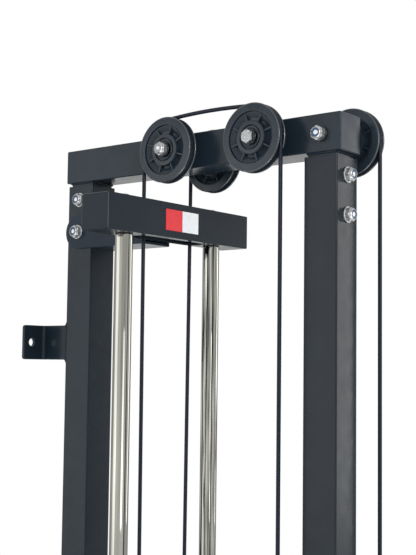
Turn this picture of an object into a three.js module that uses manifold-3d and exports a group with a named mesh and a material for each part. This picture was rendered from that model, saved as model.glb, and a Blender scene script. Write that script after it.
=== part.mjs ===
// Wall pulley weight stack: a tubular steel frame with a guided weight stack, a high
// cable and a low cable. Millimetres, +Z up, +X away from the wall, origin on the floor
// under the middle of the rear upright.
import * as THREE from 'three';
import { mergeVertices } from 'three/addons/utils/BufferGeometryUtils.js';
import Module from 'manifold-3d';

const wasm = await Module();
wasm.setup();

// Frame: one size of square tube throughout
const TUBE_SIDE = 50;
const TUBE_WALL = 3;
const TUBE_CORNER = 3;
const END_WALL = 3;
const UPRIGHT_SPACING = 430;
const BEAM_UNDERSIDE = 2050;
const BEAM_OVERHANG = 5;
const FOOT_LENGTH = 520;
const VENT_DIAMETER = 8;
const VENT_OFFSET = 100;
const NECK_HEIGHT = 5;
const STUB_LENGTH = 110;
const STUB_WALL = 3;
const STUB_CLEARANCE = 0.5;

// Gaps between separate pieces, and the overrun of every cut
const SEAT_GAP = 0.3;
const HOLE_CLEARANCE = 0.3;
const CUT_OVERRUN = 2;

// M10 hexagon bolts with plain washers and locking nuts
const BOLT_DIAMETER = 10;
const HEX_ACROSS_FLATS = 17;
const HEAD_HEIGHT = 6.4;
const NUT_HEIGHT = 8;
const COLLAR_DIAMETER = 14.5;
const COLLAR_HEIGHT = 2.6;
const THREAD_PROUD = 1.4;
const WASHER_DIAMETER = 21;
const WASHER_THICKNESS = 2;
const JOINT_BOLT_DROP = 27;
const JOINT_BOLT_PITCH = 49;

// Guide head and guide foot: short cross tubes that hold the two guide rods
const GUIDE_X = 157.5;
const GUIDE_BAR_LENGTH = 310;
const GUIDE_HEAD_DROP = 45.5;
const ROD_DIAMETER = 25;
const ROD_SPACING = 193;
const ROD_TAP_DEPTH = 30;
const SLOT_WIDTH = 34;
const SLOT_LENGTH = 145;

// Arm that carries the guide head on the rear upright
const ARM_HEIGHT = 50;
const ARM_PLATE = 4;

// Wall brackets
const BRACKET_PLATE = 5;
const BRACKET_HEIGHT = 52;
const BRACKET_REACH = 52.5;
const BRACKET_FLANGE = 40;
const BRACKET_DROP = 242.5;
const BRACKET_HOLE = 12;
const BRACKET_HOLE_INSET = 24.5;

// Cable and the nylon pulleys it runs on
const CABLE_DIAMETER = 5.5;
const CABLE_LEAD = 12;
const AXLE_DROP = 1.7;
const CABLE_PLANE = 52;
const CABLE_FALL_OFFSET = 4.6;
const LOW_FALL_SETBACK = 43;
const PITCH_RADIUS = 43;
const PULLEY_RADIUS = 46;
const GROOVE_CLEARANCE = 0.6;
const GROOVE_BOTTOM_HALF = 3.2;
const GROOVE_MOUTH_HALF = 6.2;
const RIM_WIDTH = 16;
const RIM_INNER_RADIUS = 35;
const WEB_THICKNESS = 6.4;
const HUB_RADIUS = 22.3;
const HUB_WIDTH = 17;
const SPACER_WALL = 3.5;
const LOW_PULLEY_HEIGHT = 330;
const HIGH_TAIL_LENGTH = 763;
const LOW_TAIL_LENGTH = 68;

// Cable ends: rubber stop with a steel eye, snap hook and stirrup handle
const STOP_RADIUS = 15;
const STOP_LENGTH = 34;
const STOP_NOSE_RADIUS = 6;
const STOP_NOSE_LENGTH = 9;
const EYE_RADIUS = 9;
const EYE_WIRE = 5;
const HOOK_WIRE = 5;
const HOOK_HALF_WIDTH = 9.5;
const HOOK_STRAIGHT = 36;
const BAIL_WIRE = 7;
const BAIL_TOP_RADIUS = 11;
const BAIL_HALF_WIDTH = 62;
const BAIL_DROP = 96;
const GRIP_DIAMETER = 30;
const GRIP_LENGTH = 108;

// Weight stack
const PLATE_COUNT = 8;
const PLATE_WIDTH = 280;
const PLATE_DEPTH = 110;
const PLATE_THICKNESS = 22;
const PLATE_CORNER = 6;
const ROD_CLEARANCE = 1;
const BUMPER_DIAMETER = 50;
const BUMPER_HEIGHT = 30;
const STEM_DIAMETER = 24;
const STEM_CLEARANCE = 1;
const STEM_FLANGE_DIAMETER = 36;
const STEM_FLANGE_HEIGHT = 8;
const STEM_END_INSET = 6;
const PIN_DIAMETER = 9.5;
const PIN_PLATE = 3;
const PIN_REACH = 24;
const PIN_KNOB_RADIUS = 12;
const PIN_KNOB_LENGTH = 30;
const PIN_COLLAR_LENGTH = 6;
const PIN_COLLAR_RADIUS = 8;

// Yoke of the travelling pulley on top of the stack
const YOKE_CHEEK = 5;
const YOKE_CHEEK_WIDTH = 36;
const YOKE_BASE_DEPTH = 52;
const YOKE_BASE_WIDTH = 76;
const YOKE_BASE_THICKNESS = 6;
const YOKE_PULLEY_ROOM = 10;

// Facet counts
const ROUND_FACETS = 20;
const BORE_FACETS = 16;
const HOLE_FACETS = 12;
const BOLT_FACETS = 8;
const CORNER_FACETS = 2;
const QUARTER_FACETS = 6;
const CABLE_FACETS = 8;
const ARC_STEP = Math.PI / 12;
const HEX_SIDES = 6;

// Heights and places worked out from the sizes above
const HALF_TUBE = TUBE_SIDE / 2;
const UPRIGHT_BOTTOM = TUBE_SIDE + NECK_HEIGHT;
const UPRIGHT_TOP = BEAM_UNDERSIDE - NECK_HEIGHT;
const UPRIGHT_LENGTH = UPRIGHT_TOP - UPRIGHT_BOTTOM;
const STUB_SIDE = TUBE_SIDE - 2 * TUBE_WALL - 2 * STUB_CLEARANCE;
const BOLT_HOLE_RADIUS = BOLT_DIAMETER / 2 + HOLE_CLEARANCE;
const AXLE_HEIGHT = BEAM_UNDERSIDE + HALF_TUBE - AXLE_DROP;
const FALL_X = GUIDE_X - CABLE_FALL_OFFSET;
const STACK_AXLE_X = FALL_X + PITCH_RADIUS;
const LOW_FALL_X = UPRIGHT_SPACING - LOW_FALL_SETBACK;
const LOW_LEAD_X = LOW_FALL_X - PITCH_RADIUS;
const LOW_PULLEY_X = LOW_FALL_X + PITCH_RADIUS;
const HIGH_LEAD_X = UPRIGHT_SPACING;
const HIGH_TAIL_X = HIGH_LEAD_X + PITCH_RADIUS;
const HEAD_TOP = BEAM_UNDERSIDE - GUIDE_HEAD_DROP;
const HEAD_BOTTOM = HEAD_TOP - TUBE_SIDE;
const ARM_HEIGHT_CENTRE = BEAM_UNDERSIDE - JOINT_BOLT_DROP - JOINT_BOLT_PITCH;
const GUIDE_FOOT_BOTTOM = TUBE_SIDE + SEAT_GAP;
const GUIDE_FOOT_TOP = GUIDE_FOOT_BOTTOM + TUBE_SIDE;
const BUMPER_BOTTOM = GUIDE_FOOT_TOP + SEAT_GAP;
const STACK_BOTTOM = BUMPER_BOTTOM + BUMPER_HEIGHT + SEAT_GAP;
const PLATE_PITCH = PLATE_THICKNESS + SEAT_GAP;
const TOP_PLATE_BOTTOM = STACK_BOTTOM + PLATE_COUNT * PLATE_PITCH;
const TOP_PLATE_TOP = TOP_PLATE_BOTTOM + PLATE_THICKNESS;
const YOKE_BOTTOM = TOP_PLATE_TOP + SEAT_GAP;
const YOKE_BASE_TOP = YOKE_BOTTOM + YOKE_BASE_THICKNESS;
const TRAVELLER_HEIGHT = YOKE_BASE_TOP + YOKE_PULLEY_ROOM + PULLEY_RADIUS;
const LEAD_BOTTOM = AXLE_HEIGHT - CABLE_LEAD;
const HIGH_TAIL_TOP = LEAD_BOTTOM - SEAT_GAP;
const LOW_TAIL_START = LOW_PULLEY_X + CABLE_LEAD + SEAT_GAP;
const HUB_HALF = HUB_WIDTH / 2;
const HUB_NEAR = CABLE_PLANE - HUB_HALF;
const HUB_FAR = CABLE_PLANE + HUB_HALF;

const X_AXIS = new THREE.Vector3(1, 0, 0);
const Y_AXIS = new THREE.Vector3(0, 1, 0);
const Z_AXIS = new THREE.Vector3(0, 0, 1);

const FRAME_BLACK = new THREE.MeshStandardMaterial({ color: 0x2b3136, roughness: 0.5, metalness: 0.35 });
const PLATE_BLACK = new THREE.MeshStandardMaterial({ color: 0x1d1f21, roughness: 0.6, metalness: 0.4 });
const NYLON_BLACK = new THREE.MeshStandardMaterial({ color: 0x1b1e21, roughness: 0.45, metalness: 0 });
const CABLE_BLACK = new THREE.MeshStandardMaterial({ color: 0x15181c, roughness: 0.4, metalness: 0 });
const RUBBER_BLACK = new THREE.MeshStandardMaterial({ color: 0x18191a, roughness: 0.85, metalness: 0 });
const CHROME = new THREE.MeshStandardMaterial({ color: 0xc9c9be, roughness: 0.12, metalness: 1 });
const ZINC = new THREE.MeshStandardMaterial({ color: 0xb9bdc0, roughness: 0.3, metalness: 1 });

// Turns a closed geometry into a solid that can be joined and cut
function toSolid(geometry) {
  const bare = geometry.clone();
  bare.deleteAttribute('normal');
  bare.deleteAttribute('uv');
  const merged = mergeVertices(bare);
  const vertProperties = new Float32Array(merged.attributes.position.array);
  const triVerts = new Uint32Array(merged.index.array);
  return new wasm.Manifold(new wasm.Mesh({ numProp: 3, vertProperties, triVerts }));
}

function toGeometry(solid) {
  const mesh = solid.getMesh();
  const geometry = new THREE.BufferGeometry();
  geometry.setAttribute('position', new THREE.BufferAttribute(mesh.vertProperties.slice(), 3));
  geometry.setIndex(new THREE.BufferAttribute(mesh.triVerts.slice(), 1));
  geometry.computeVertexNormals();
  return geometry;
}

function join(...solids) {
  return solids.reduce((whole, solid) => whole.add(solid));
}

function cut(solid, ...tools) {
  return tools.reduce((rest, tool) => rest.subtract(tool), solid);
}

function piece(name, solid, material) {
  const mesh = new THREE.Mesh(toGeometry(solid), material);
  mesh.name = name;
  return mesh;
}

function placed(mesh, x, y, z) {
  mesh.position.set(x, y, z);
  return mesh;
}

// A box between two corners
function block(low, high) {
  const size = high.map((value, axis) => value - low[axis]);
  const centre = high.map((value, axis) => (value + low[axis]) / 2);
  const geometry = new THREE.BoxGeometry(size[0], size[1], size[2]);
  geometry.translate(centre[0], centre[1], centre[2]);
  return toSolid(geometry);
}

// A round bar along a row axis, from one end to the other, its centre line through point
function bar(axis, radius, from, to, point = [0, 0, 0], facets = BOLT_FACETS) {
  const geometry = new THREE.CylinderGeometry(radius, radius, to - from, facets);
  geometry.translate(0, (from + to) / 2, 0);
  const turn = new THREE.Quaternion().setFromUnitVectors(Y_AXIS, axis);
  geometry.applyQuaternion(turn);
  geometry.translate(point[0], point[1], point[2]);
  return toSolid(geometry);
}

// A solid of revolution about +Z from an outline of [radius, height] points
function turned(outline, facets = ROUND_FACETS) {
  const points = outline.map(([radius, height]) => new THREE.Vector2(radius, height));
  const geometry = new THREE.LatheGeometry(points, facets);
  geometry.rotateX(Math.PI / 2);
  return toSolid(geometry);
}

function roundedRectangle(width, height, corner) {
  const x = width / 2;
  const y = height / 2;
  const shape = new THREE.Shape();
  shape.moveTo(corner - x, -y);
  shape.lineTo(x - corner, -y);
  shape.absarc(x - corner, corner - y, corner, -Math.PI / 2, 0);
  shape.absarc(x - corner, y - corner, corner, 0, Math.PI / 2);
  shape.absarc(corner - x, y - corner, corner, Math.PI / 2, Math.PI);
  shape.absarc(corner - x, corner - y, corner, Math.PI, 1.5 * Math.PI);
  return shape;
}

// A prism of the shape along +Z, each arc of the shape drawn with the given facets
function prism(shape, depth, facets = CORNER_FACETS) {
  const options = { depth, bevelEnabled: false, curveSegments: facets / 2 };
  return toSolid(new THREE.ExtrudeGeometry(shape, options));
}

// Square tube along +Z; a closed tube has an end wall inside each end
function squareTube(side, wall, corner, length, closed) {
  const inner = side / 2 - wall;
  const bottom = closed ? END_WALL : -CUT_OVERRUN;
  const top = closed ? length - END_WALL : length + CUT_OVERRUN;
  const outside = prism(roundedRectangle(side, side, corner), length);
  return cut(outside, block([-inner, -inner, bottom], [inner, inner, top]));
}

// The same solid turned so that +Z becomes the axis, then moved
function moved(solid, axis, x, y, z) {
  const geometry = toGeometry(solid);
  geometry.applyQuaternion(new THREE.Quaternion().setFromUnitVectors(Z_AXIS, axis));
  geometry.translate(x, y, z);
  return toSolid(geometry);
}

// Heights of the two joint bolts, measured from the face that the stub is welded to
function jointBoltDistances() {
  return [JOINT_BOLT_DROP, JOINT_BOLT_DROP + JOINT_BOLT_PITCH];
}

function jointHole(axis, x, height) {
  return bar(axis, BOLT_HOLE_RADIUS, -TUBE_SIDE, TUBE_SIDE, [x, 0, height]);
}

// Upright about its own centre line, with the joint bolt holes near both ends
function upright(name, x, boltAxis, extraHoles = []) {
  const tube = squareTube(TUBE_SIDE, TUBE_WALL, TUBE_CORNER, UPRIGHT_LENGTH, false);
  const heights = jointBoltDistances().flatMap((distance) => [
    TUBE_SIDE + distance - UPRIGHT_BOTTOM,
    BEAM_UNDERSIDE - distance - UPRIGHT_BOTTOM,
  ]);
  const holes = heights.map((height) => jointHole(boltAxis, 0, height));
  return placed(piece(name, cut(tube, ...holes, ...extraHoles), FRAME_BLACK), x, 0, UPRIGHT_BOTTOM);
}

// Stub along +Z from 0, welded to a tube and pushed into an upright
function stub(boltAxis) {
  const tube = squareTube(STUB_SIDE, STUB_WALL, 0, STUB_LENGTH, false);
  const holes = jointBoltDistances().map((distance) => jointHole(boltAxis, 0, distance));
  return cut(tube, ...holes);
}

function topBeam() {
  const length = UPRIGHT_SPACING + TUBE_SIDE + 2 * BEAM_OVERHANG;
  const tube = moved(
    squareTube(TUBE_SIDE, TUBE_WALL, TUBE_CORNER, length, true),
    X_AXIS,
    -HALF_TUBE - BEAM_OVERHANG,
    0,
    HALF_TUBE,
  );
  const down = new THREE.Vector3(0, 0, -1);
  const rearStub = moved(stub(Y_AXIS), down, 0, 0, 0);
  const frontStub = moved(stub(X_AXIS), down, UPRIGHT_SPACING, 0, 0);
  const axles = [STACK_AXLE_X, LOW_LEAD_X, HIGH_LEAD_X].map((x) => jointHole(Y_AXIS, x, HALF_TUBE - AXLE_DROP));
  const beam = cut(join(tube, rearStub, frontStub), ...axles);
  return placed(piece('top_beam', beam, FRAME_BLACK), 0, 0, BEAM_UNDERSIDE);
}

// Cross foot on the floor with the stub that carries an upright; its ends are capped
// and a hole underneath vents it
function foot(name, x, boltAxis) {
  const tube = moved(
    squareTube(TUBE_SIDE, TUBE_WALL, TUBE_CORNER, FOOT_LENGTH, true),
    Y_AXIS,
    0,
    -FOOT_LENGTH / 2,
    HALF_TUBE,
  );
  const post = moved(stub(boltAxis), Z_AXIS, 0, 0, TUBE_SIDE);
  const vent = bar(Z_AXIS, VENT_DIAMETER / 2, -CUT_OVERRUN, HALF_TUBE, [0, VENT_OFFSET, 0]);
  return placed(piece(name, cut(join(tube, post), vent), FRAME_BLACK), x, 0, 0);
}

function baseRail() {
  const length = UPRIGHT_SPACING - TUBE_SIDE - 2 * SEAT_GAP;
  const tube = squareTube(TUBE_SIDE, TUBE_WALL, TUBE_CORNER, length, false);
  const rail = moved(tube, X_AXIS, HALF_TUBE + SEAT_GAP, 0, HALF_TUBE);
  return piece('base_rail', rail, FRAME_BLACK);
}

// Cross tube that holds the guide rods, with the holes for their end bolts
function guideBar(name, height, openings) {
  const tube = moved(
    squareTube(TUBE_SIDE, TUBE_WALL, TUBE_CORNER, GUIDE_BAR_LENGTH, true),
    Y_AXIS,
    0,
    -GUIDE_BAR_LENGTH / 2,
    HALF_TUBE,
  );
  const holes = [-ROD_SPACING / 2, ROD_SPACING / 2].map((y) =>
    bar(Z_AXIS, BOLT_HOLE_RADIUS, -CUT_OVERRUN, TUBE_SIDE + CUT_OVERRUN, [0, y, 0]),
  );
  return placed(piece(name, cut(tube, ...holes, ...openings), FRAME_BLACK), GUIDE_X, 0, height);
}

// The slot in the guide head that both falls of cable pass through
function cableSlot() {
  const radius = SLOT_WIDTH / 2;
  const shape = roundedRectangle(SLOT_WIDTH, SLOT_LENGTH, radius);
  const slot = prism(shape, TUBE_SIDE + 2 * CUT_OVERRUN, QUARTER_FACETS);
  return moved(slot, Z_AXIS, FALL_X - GUIDE_X, 0, -CUT_OVERRUN);
}

// Channel arm: two side plates with round ears on the rear upright, joined by a floor
function headArm() {
  const reach = GUIDE_X - HALF_TUBE - SEAT_GAP;
  const half = ARM_HEIGHT / 2;
  const outline = new THREE.Shape();
  outline.moveTo(reach, half);
  outline.lineTo(0, half);
  outline.absarc(0, 0, half, Math.PI / 2, 1.5 * Math.PI);
  outline.lineTo(reach, -half);
  const inner = HALF_TUBE + SEAT_GAP;
  const middle = inner + ARM_PLATE / 2;
  const plate = prism(outline, ARM_PLATE, 2 * QUARTER_FACETS);
  const along = toGeometry(plate).rotateX(Math.PI / 2);
  const near = toSolid(along.clone().translate(0, -inner, 0));
  const far = toSolid(along.clone().translate(0, inner + ARM_PLATE, 0));
  const floor = block([inner, -middle, -half], [reach, middle, ARM_PLATE - half]);
  const arm = cut(join(near, far, floor), jointHole(Y_AXIS, 0, 0));
  return placed(piece('head_arm', arm, FRAME_BLACK), 0, 0, ARM_HEIGHT_CENTRE);
}

function guideRod(name, side) {
  const bottom = GUIDE_FOOT_TOP + SEAT_GAP;
  const top = HEAD_BOTTOM - SEAT_GAP;
  const rod = cut(
    bar(Z_AXIS, ROD_DIAMETER / 2, 0, top - bottom, [0, 0, 0], ROUND_FACETS),
    bar(Z_AXIS, BOLT_HOLE_RADIUS, -CUT_OVERRUN, ROD_TAP_DEPTH),
    bar(Z_AXIS, BOLT_HOLE_RADIUS, top - bottom - ROD_TAP_DEPTH, top - bottom + CUT_OVERRUN),
  );
  return placed(piece(name, rod, CHROME), GUIDE_X, (side * ROD_SPACING) / 2, bottom);
}

// Bracket plate welded to the back of the rear upright, its flange turned outwards
function wallBracket(name, side) {
  const web = [
    [-HALF_TUBE - BRACKET_REACH, HALF_TUBE - BRACKET_PLATE],
    [-HALF_TUBE - SEAT_GAP, HALF_TUBE],
  ];
  const flange = [
    [-HALF_TUBE - BRACKET_REACH, HALF_TUBE - BRACKET_PLATE],
    [BRACKET_PLATE - HALF_TUBE - BRACKET_REACH, HALF_TUBE + BRACKET_FLANGE],
  ];
  const half = BRACKET_HEIGHT / 2;
  const plates = [web, flange].map(([low, high]) => {
    const y = [side * low[1], side * high[1]].sort((a, b) => a - b);
    return block([low[0], y[0], -half], [high[0], y[1], half]);
  });
  const wallFace = -HALF_TUBE - BRACKET_REACH;
  const holeY = side * (HALF_TUBE + BRACKET_HOLE_INSET);
  const hole = bar(
    X_AXIS,
    BRACKET_HOLE / 2,
    wallFace - CUT_OVERRUN,
    wallFace + BRACKET_PLATE + CUT_OVERRUN,
    [0, holeY, 0],
    ROUND_FACETS,
  );
  const bracket = cut(join(...plates), hole);
  return placed(piece(name, bracket, FRAME_BLACK), 0, 0, BEAM_UNDERSIDE - BRACKET_DROP);
}

// Bolt, two washers and locking nut as clamped up, along +Z; the grip starts at 0
function boltSet(name, grip) {
  const hexRadius = HEX_ACROSS_FLATS / Math.sqrt(3);
  const nutBottom = grip + WASHER_THICKNESS;
  const nutTop = nutBottom + NUT_HEIGHT;
  const collarTop = nutTop + COLLAR_HEIGHT;
  const set = join(
    bar(Z_AXIS, BOLT_DIAMETER / 2, -WASHER_THICKNESS - HEAD_HEIGHT, collarTop + THREAD_PROUD),
    bar(Z_AXIS, hexRadius, -WASHER_THICKNESS - HEAD_HEIGHT, -WASHER_THICKNESS, [0, 0, 0], HEX_SIDES),
    bar(Z_AXIS, WASHER_DIAMETER / 2, -WASHER_THICKNESS, 0, [0, 0, 0], BORE_FACETS),
    bar(Z_AXIS, WASHER_DIAMETER / 2, grip, nutBottom, [0, 0, 0], BORE_FACETS),
    bar(Z_AXIS, hexRadius, nutBottom, nutTop, [0, 0, 0], HEX_SIDES),
    bar(Z_AXIS, COLLAR_DIAMETER / 2, nutTop, collarTop, [0, 0, 0], HOLE_FACETS),
  );
  return piece(name, set, ZINC);
}

// A bolt set whose grip runs from one place to another along a row axis
function boltBetween(name, from, to) {
  const start = new THREE.Vector3(...from);
  const span = new THREE.Vector3(...to).sub(start);
  const bolt = boltSet(name, span.length());
  bolt.quaternion.setFromUnitVectors(Z_AXIS, span.normalize());
  bolt.position.copy(start);
  return bolt;
}

function jointBolts() {
  const face = HALF_TUBE + SEAT_GAP;
  const armFace = face + ARM_PLATE + SEAT_GAP;
  const [upper, lower] = jointBoltDistances().map((distance) => BEAM_UNDERSIDE - distance);
  const front = UPRIGHT_SPACING;
  return [
    boltBetween('rear_upper_joint_bolt', [0, face, upper], [0, -face, upper]),
    boltBetween('rear_lower_joint_bolt', [0, armFace, lower], [0, -armFace, lower]),
    boltBetween('front_upper_joint_bolt', [front - face, 0, upper], [front + face, 0, upper]),
    boltBetween('front_lower_joint_bolt', [front - face, 0, lower], [front + face, 0, lower]),
  ];
}

function axleBolts() {
  const hub = HUB_FAR + SEAT_GAP;
  const face = HALF_TUBE + SEAT_GAP;
  const axle = (name, x, z, from, to) => boltBetween(name, [x, from, z], [x, to, z]);
  return [
    axle('stack_pulley_axle', STACK_AXLE_X, AXLE_HEIGHT, hub, -hub),
    axle('low_lead_pulley_axle', LOW_LEAD_X, AXLE_HEIGHT, -hub, face),
    axle('high_lead_pulley_axle', HIGH_LEAD_X, AXLE_HEIGHT, hub, -face),
    axle('low_pulley_axle', LOW_PULLEY_X, LOW_PULLEY_HEIGHT, face, -hub),
  ];
}

// Grooved pulley about +Z with its groove at height 0
function pulleySolid() {
  const grooveBottom = PITCH_RADIUS - CABLE_DIAMETER / 2 - GROOVE_CLEARANCE;
  const bore = BOLT_DIAMETER / 2 + HOLE_CLEARANCE;
  const rim = RIM_WIDTH / 2;
  const web = WEB_THICKNESS / 2;
  const upper = [
    [bore, HUB_HALF],
    [HUB_RADIUS, HUB_HALF],
    [HUB_RADIUS, web],
    [RIM_INNER_RADIUS, web],
    [RIM_INNER_RADIUS, rim],
    [PULLEY_RADIUS, rim],
    [PULLEY_RADIUS, GROOVE_MOUTH_HALF],
    [grooveBottom, GROOVE_BOTTOM_HALF],
  ];
  const lower = upper.map(([radius, height]) => [radius, -height]).reverse();
  return turned([...upper, ...lower, upper[0]].reverse());
}

function pulley(name, x, y, z, axis = Y_AXIS) {
  const wheel = placed(piece(name, pulleySolid(), NYLON_BLACK), x, y, z);
  wheel.quaternion.setFromUnitVectors(Z_AXIS, axis);
  return wheel;
}

// Spacer sleeve on an axle between the frame's face and the pulley's hub
function spacer(name, x, side, z) {
  const inner = BOLT_HOLE_RADIUS;
  const outer = inner + SPACER_WALL;
  const from = HALF_TUBE + SEAT_GAP;
  const to = HUB_NEAR - SEAT_GAP;
  const sleeve = cut(
    bar(Y_AXIS, outer, from, to, [0, 0, 0], BORE_FACETS),
    bar(Y_AXIS, inner, from - CUT_OVERRUN, to + CUT_OVERRUN),
  );
  const mesh = placed(piece(name, sleeve, ZINC), x, 0, z);
  mesh.rotation.z = side > 0 ? 0 : Math.PI;
  return mesh;
}

// A path through listed points, one extrusion step from each point to the next
class PointPath extends THREE.Curve {
  constructor(points) {
    super();
    this.points = points;
  }

  getPoint(share) {
    const place = THREE.MathUtils.clamp(share, 0, 1) * (this.points.length - 1);
    const index = Math.min(Math.floor(place), this.points.length - 2);
    return this.points[index].clone().lerp(this.points[index + 1], place - index);
  }

  getPointAt(share) {
    return this.getPoint(share);
  }

  getTangentAt(share) {
    return this.getTangent(share);
  }
}

// Round cable through the points
function cable(name, points) {
  const section = new THREE.Shape();
  section.absarc(0, 0, CABLE_DIAMETER / 2, 0, 2 * Math.PI);
  const geometry = new THREE.ExtrudeGeometry(section, {
    steps: points.length - 1,
    curveSegments: CABLE_FACETS / 2,
    extrudePath: new PointPath(points),
  });
  return piece(name, toSolid(geometry), CABLE_BLACK);
}

// Points round a pulley at the pitch radius; plane(a, b) turns two offsets into a point
function arc(start, end, plane) {
  const steps = Math.max(1, Math.round(Math.abs(end - start) / ARC_STEP));
  return Array.from({ length: steps + 1 }, (_, index) => {
    const angle = start + ((end - start) * index) / steps;
    return plane(PITCH_RADIUS * Math.cos(angle), PITCH_RADIUS * Math.sin(angle));
  });
}

function arcInXZ(x, y, z, start, end) {
  return arc(start, end, (a, b) => new THREE.Vector3(x + a, y, z + b));
}

function cables() {
  const left = Math.PI;
  const top = Math.PI / 2;
  const bottom = 1.5 * Math.PI;
  const near = -CABLE_PLANE;
  const far = CABLE_PLANE;
  const lowTailZ = LOW_PULLEY_HEIGHT - PITCH_RADIUS;
  const lowRoute = [
    new THREE.Vector3(FALL_X, near, LEAD_BOTTOM),
    ...arcInXZ(STACK_AXLE_X, near, AXLE_HEIGHT, left, top),
    ...arcInXZ(LOW_LEAD_X, near, AXLE_HEIGHT, top, 0),
    ...arcInXZ(LOW_PULLEY_X, near, LOW_PULLEY_HEIGHT, left, bottom),
    new THREE.Vector3(LOW_PULLEY_X + CABLE_LEAD, near, lowTailZ),
  ];
  const highRoute = [
    new THREE.Vector3(FALL_X, far, LEAD_BOTTOM),
    ...arcInXZ(STACK_AXLE_X, far, AXLE_HEIGHT, left, top),
    ...arcInXZ(HIGH_LEAD_X, far, AXLE_HEIGHT, top, 0),
    new THREE.Vector3(HIGH_TAIL_X, far, LEAD_BOTTOM),
  ];
  const wrapTop = TRAVELLER_HEIGHT + CABLE_LEAD;
  const wrap = [
    new THREE.Vector3(FALL_X, -PITCH_RADIUS, wrapTop),
    ...arc(left, 2 * Math.PI, (a, b) => new THREE.Vector3(FALL_X, a, TRAVELLER_HEIGHT + b)),
    new THREE.Vector3(FALL_X, PITCH_RADIUS, wrapTop),
  ];
  const fall = (name, side) =>
    cable(name, [
      new THREE.Vector3(FALL_X, side * CABLE_PLANE, LEAD_BOTTOM - SEAT_GAP),
      new THREE.Vector3(FALL_X, side * PITCH_RADIUS, wrapTop + SEAT_GAP),
    ]);
  return [
    cable('low_cable_route', lowRoute),
    cable('high_cable_route', highRoute),
    fall('near_stack_fall', -1),
    fall('far_stack_fall', 1),
    cable('traveller_cable_wrap', wrap),
    cable('high_cable_tail', [
      new THREE.Vector3(HIGH_TAIL_X, far, HIGH_TAIL_TOP),
      new THREE.Vector3(HIGH_TAIL_X, far, HIGH_TAIL_TOP - HIGH_TAIL_LENGTH),
    ]),
    cable('low_cable_tail', [
      new THREE.Vector3(LOW_TAIL_START, near, lowTailZ),
      new THREE.Vector3(LOW_TAIL_START + LOW_TAIL_LENGTH, near, lowTailZ),
    ]),
  ];
}

// Distance from the top of a cable stop to the middle of its eye
function eyeDistance() {
  return STOP_LENGTH + EYE_RADIUS - EYE_WIRE / 2;
}

// Rubber stop moulded on the cable's end, with a steel eye below it; top at 0, along -Z
function cableStop(name) {
  const body = turned([
    [0, -STOP_LENGTH],
    [STOP_RADIUS - STOP_NOSE_RADIUS / 2, -STOP_LENGTH],
    [STOP_RADIUS, STOP_NOSE_RADIUS / 2 - STOP_LENGTH],
    [STOP_RADIUS, -STOP_NOSE_LENGTH],
    [STOP_NOSE_RADIUS, 0],
    [0, 0],
  ]);
  const ring = new THREE.TorusGeometry(EYE_RADIUS, EYE_WIRE / 2, CABLE_FACETS, BORE_FACETS);
  ring.rotateX(Math.PI / 2);
  ring.translate(0, 0, -eyeDistance());
  return piece(name, join(body, toSolid(ring)), RUBBER_BLACK);
}

// Oblong ring of square wire in the YZ plane, its top bar in the eye centred on 0
function snapHook(name) {
  const half = HOOK_WIRE / 2;
  const outerWidth = 2 * (HOOK_HALF_WIDTH + half);
  const innerWidth = 2 * (HOOK_HALF_WIDTH - half);
  const outer = roundedRectangle(outerWidth, HOOK_STRAIGHT + outerWidth, outerWidth / 2);
  outer.holes.push(roundedRectangle(innerWidth, HOOK_STRAIGHT + innerWidth, innerWidth / 2));
  const ring = toGeometry(prism(outer, HOOK_WIRE, QUARTER_FACETS));
  ring.translate(0, 0, -half);
  ring.rotateX(Math.PI / 2);
  ring.rotateZ(Math.PI / 2);
  ring.translate(0, 0, hookTop() - HOOK_STRAIGHT / 2 - HOOK_HALF_WIDTH);
  return piece(name, toSolid(ring), ZINC);
}

// How far an arc rises from its lowest point at half a width to either side
function arcRise(radius, half) {
  return radius - Math.sqrt(radius * radius - half * half);
}

// Height of the centre line of the hook's top bar, from the middle of the eye
function hookTop() {
  const eyeInner = EYE_RADIUS - EYE_WIRE / 2;
  return arcRise(eyeInner, HOOK_WIRE / 2) + SEAT_GAP + HOOK_WIRE / 2 - eyeInner;
}

// Height of the centre line of the bail's top bar, from the middle of the eye
function bailTop() {
  const hookBottom = hookTop() - HOOK_STRAIGHT - 2 * HOOK_HALF_WIDTH;
  const hookRise = arcRise(HOOK_HALF_WIDTH - HOOK_WIRE / 2, BAIL_WIRE / 2);
  const bailRise = arcRise(BAIL_TOP_RADIUS - BAIL_WIRE / 2, HOOK_WIRE / 2);
  return hookBottom + HOOK_WIRE / 2 + hookRise + bailRise + SEAT_GAP + BAIL_WIRE / 2;
}

// The bail's outline in its own plane, grown or shrunk by an offset
function bailOutline(offset) {
  const radius = BAIL_TOP_RADIUS + offset;
  const side = BAIL_HALF_WIDTH + offset;
  const bottom = -BAIL_DROP - offset;
  const shape = new THREE.Shape();
  shape.moveTo(side, bottom);
  shape.lineTo(side, GRIP_DIAMETER - BAIL_DROP);
  shape.lineTo(radius, -BAIL_TOP_RADIUS);
  shape.absarc(0, -BAIL_TOP_RADIUS, radius, 0, Math.PI);
  shape.lineTo(-side, GRIP_DIAMETER - BAIL_DROP);
  shape.lineTo(-side, bottom);
  return shape;
}

// Stirrup handle in the XZ plane: a bail and a round grip along its lower bar
function stirrupHandle(name) {
  const half = BAIL_WIRE / 2;
  const outer = bailOutline(half);
  outer.holes.push(bailOutline(-half));
  const bail = toGeometry(prism(outer, BAIL_WIRE, 2 * QUARTER_FACETS));
  bail.translate(0, 0, -half);
  bail.rotateX(Math.PI / 2);
  const halfGrip = GRIP_LENGTH / 2;
  const grip = bar(X_AXIS, GRIP_DIAMETER / 2, -halfGrip, halfGrip, [0, 0, -BAIL_DROP], BORE_FACETS);
  const handle = toGeometry(join(toSolid(bail), grip)).translate(0, 0, bailTop());
  return piece(name, toSolid(handle), RUBBER_BLACK);
}

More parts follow.
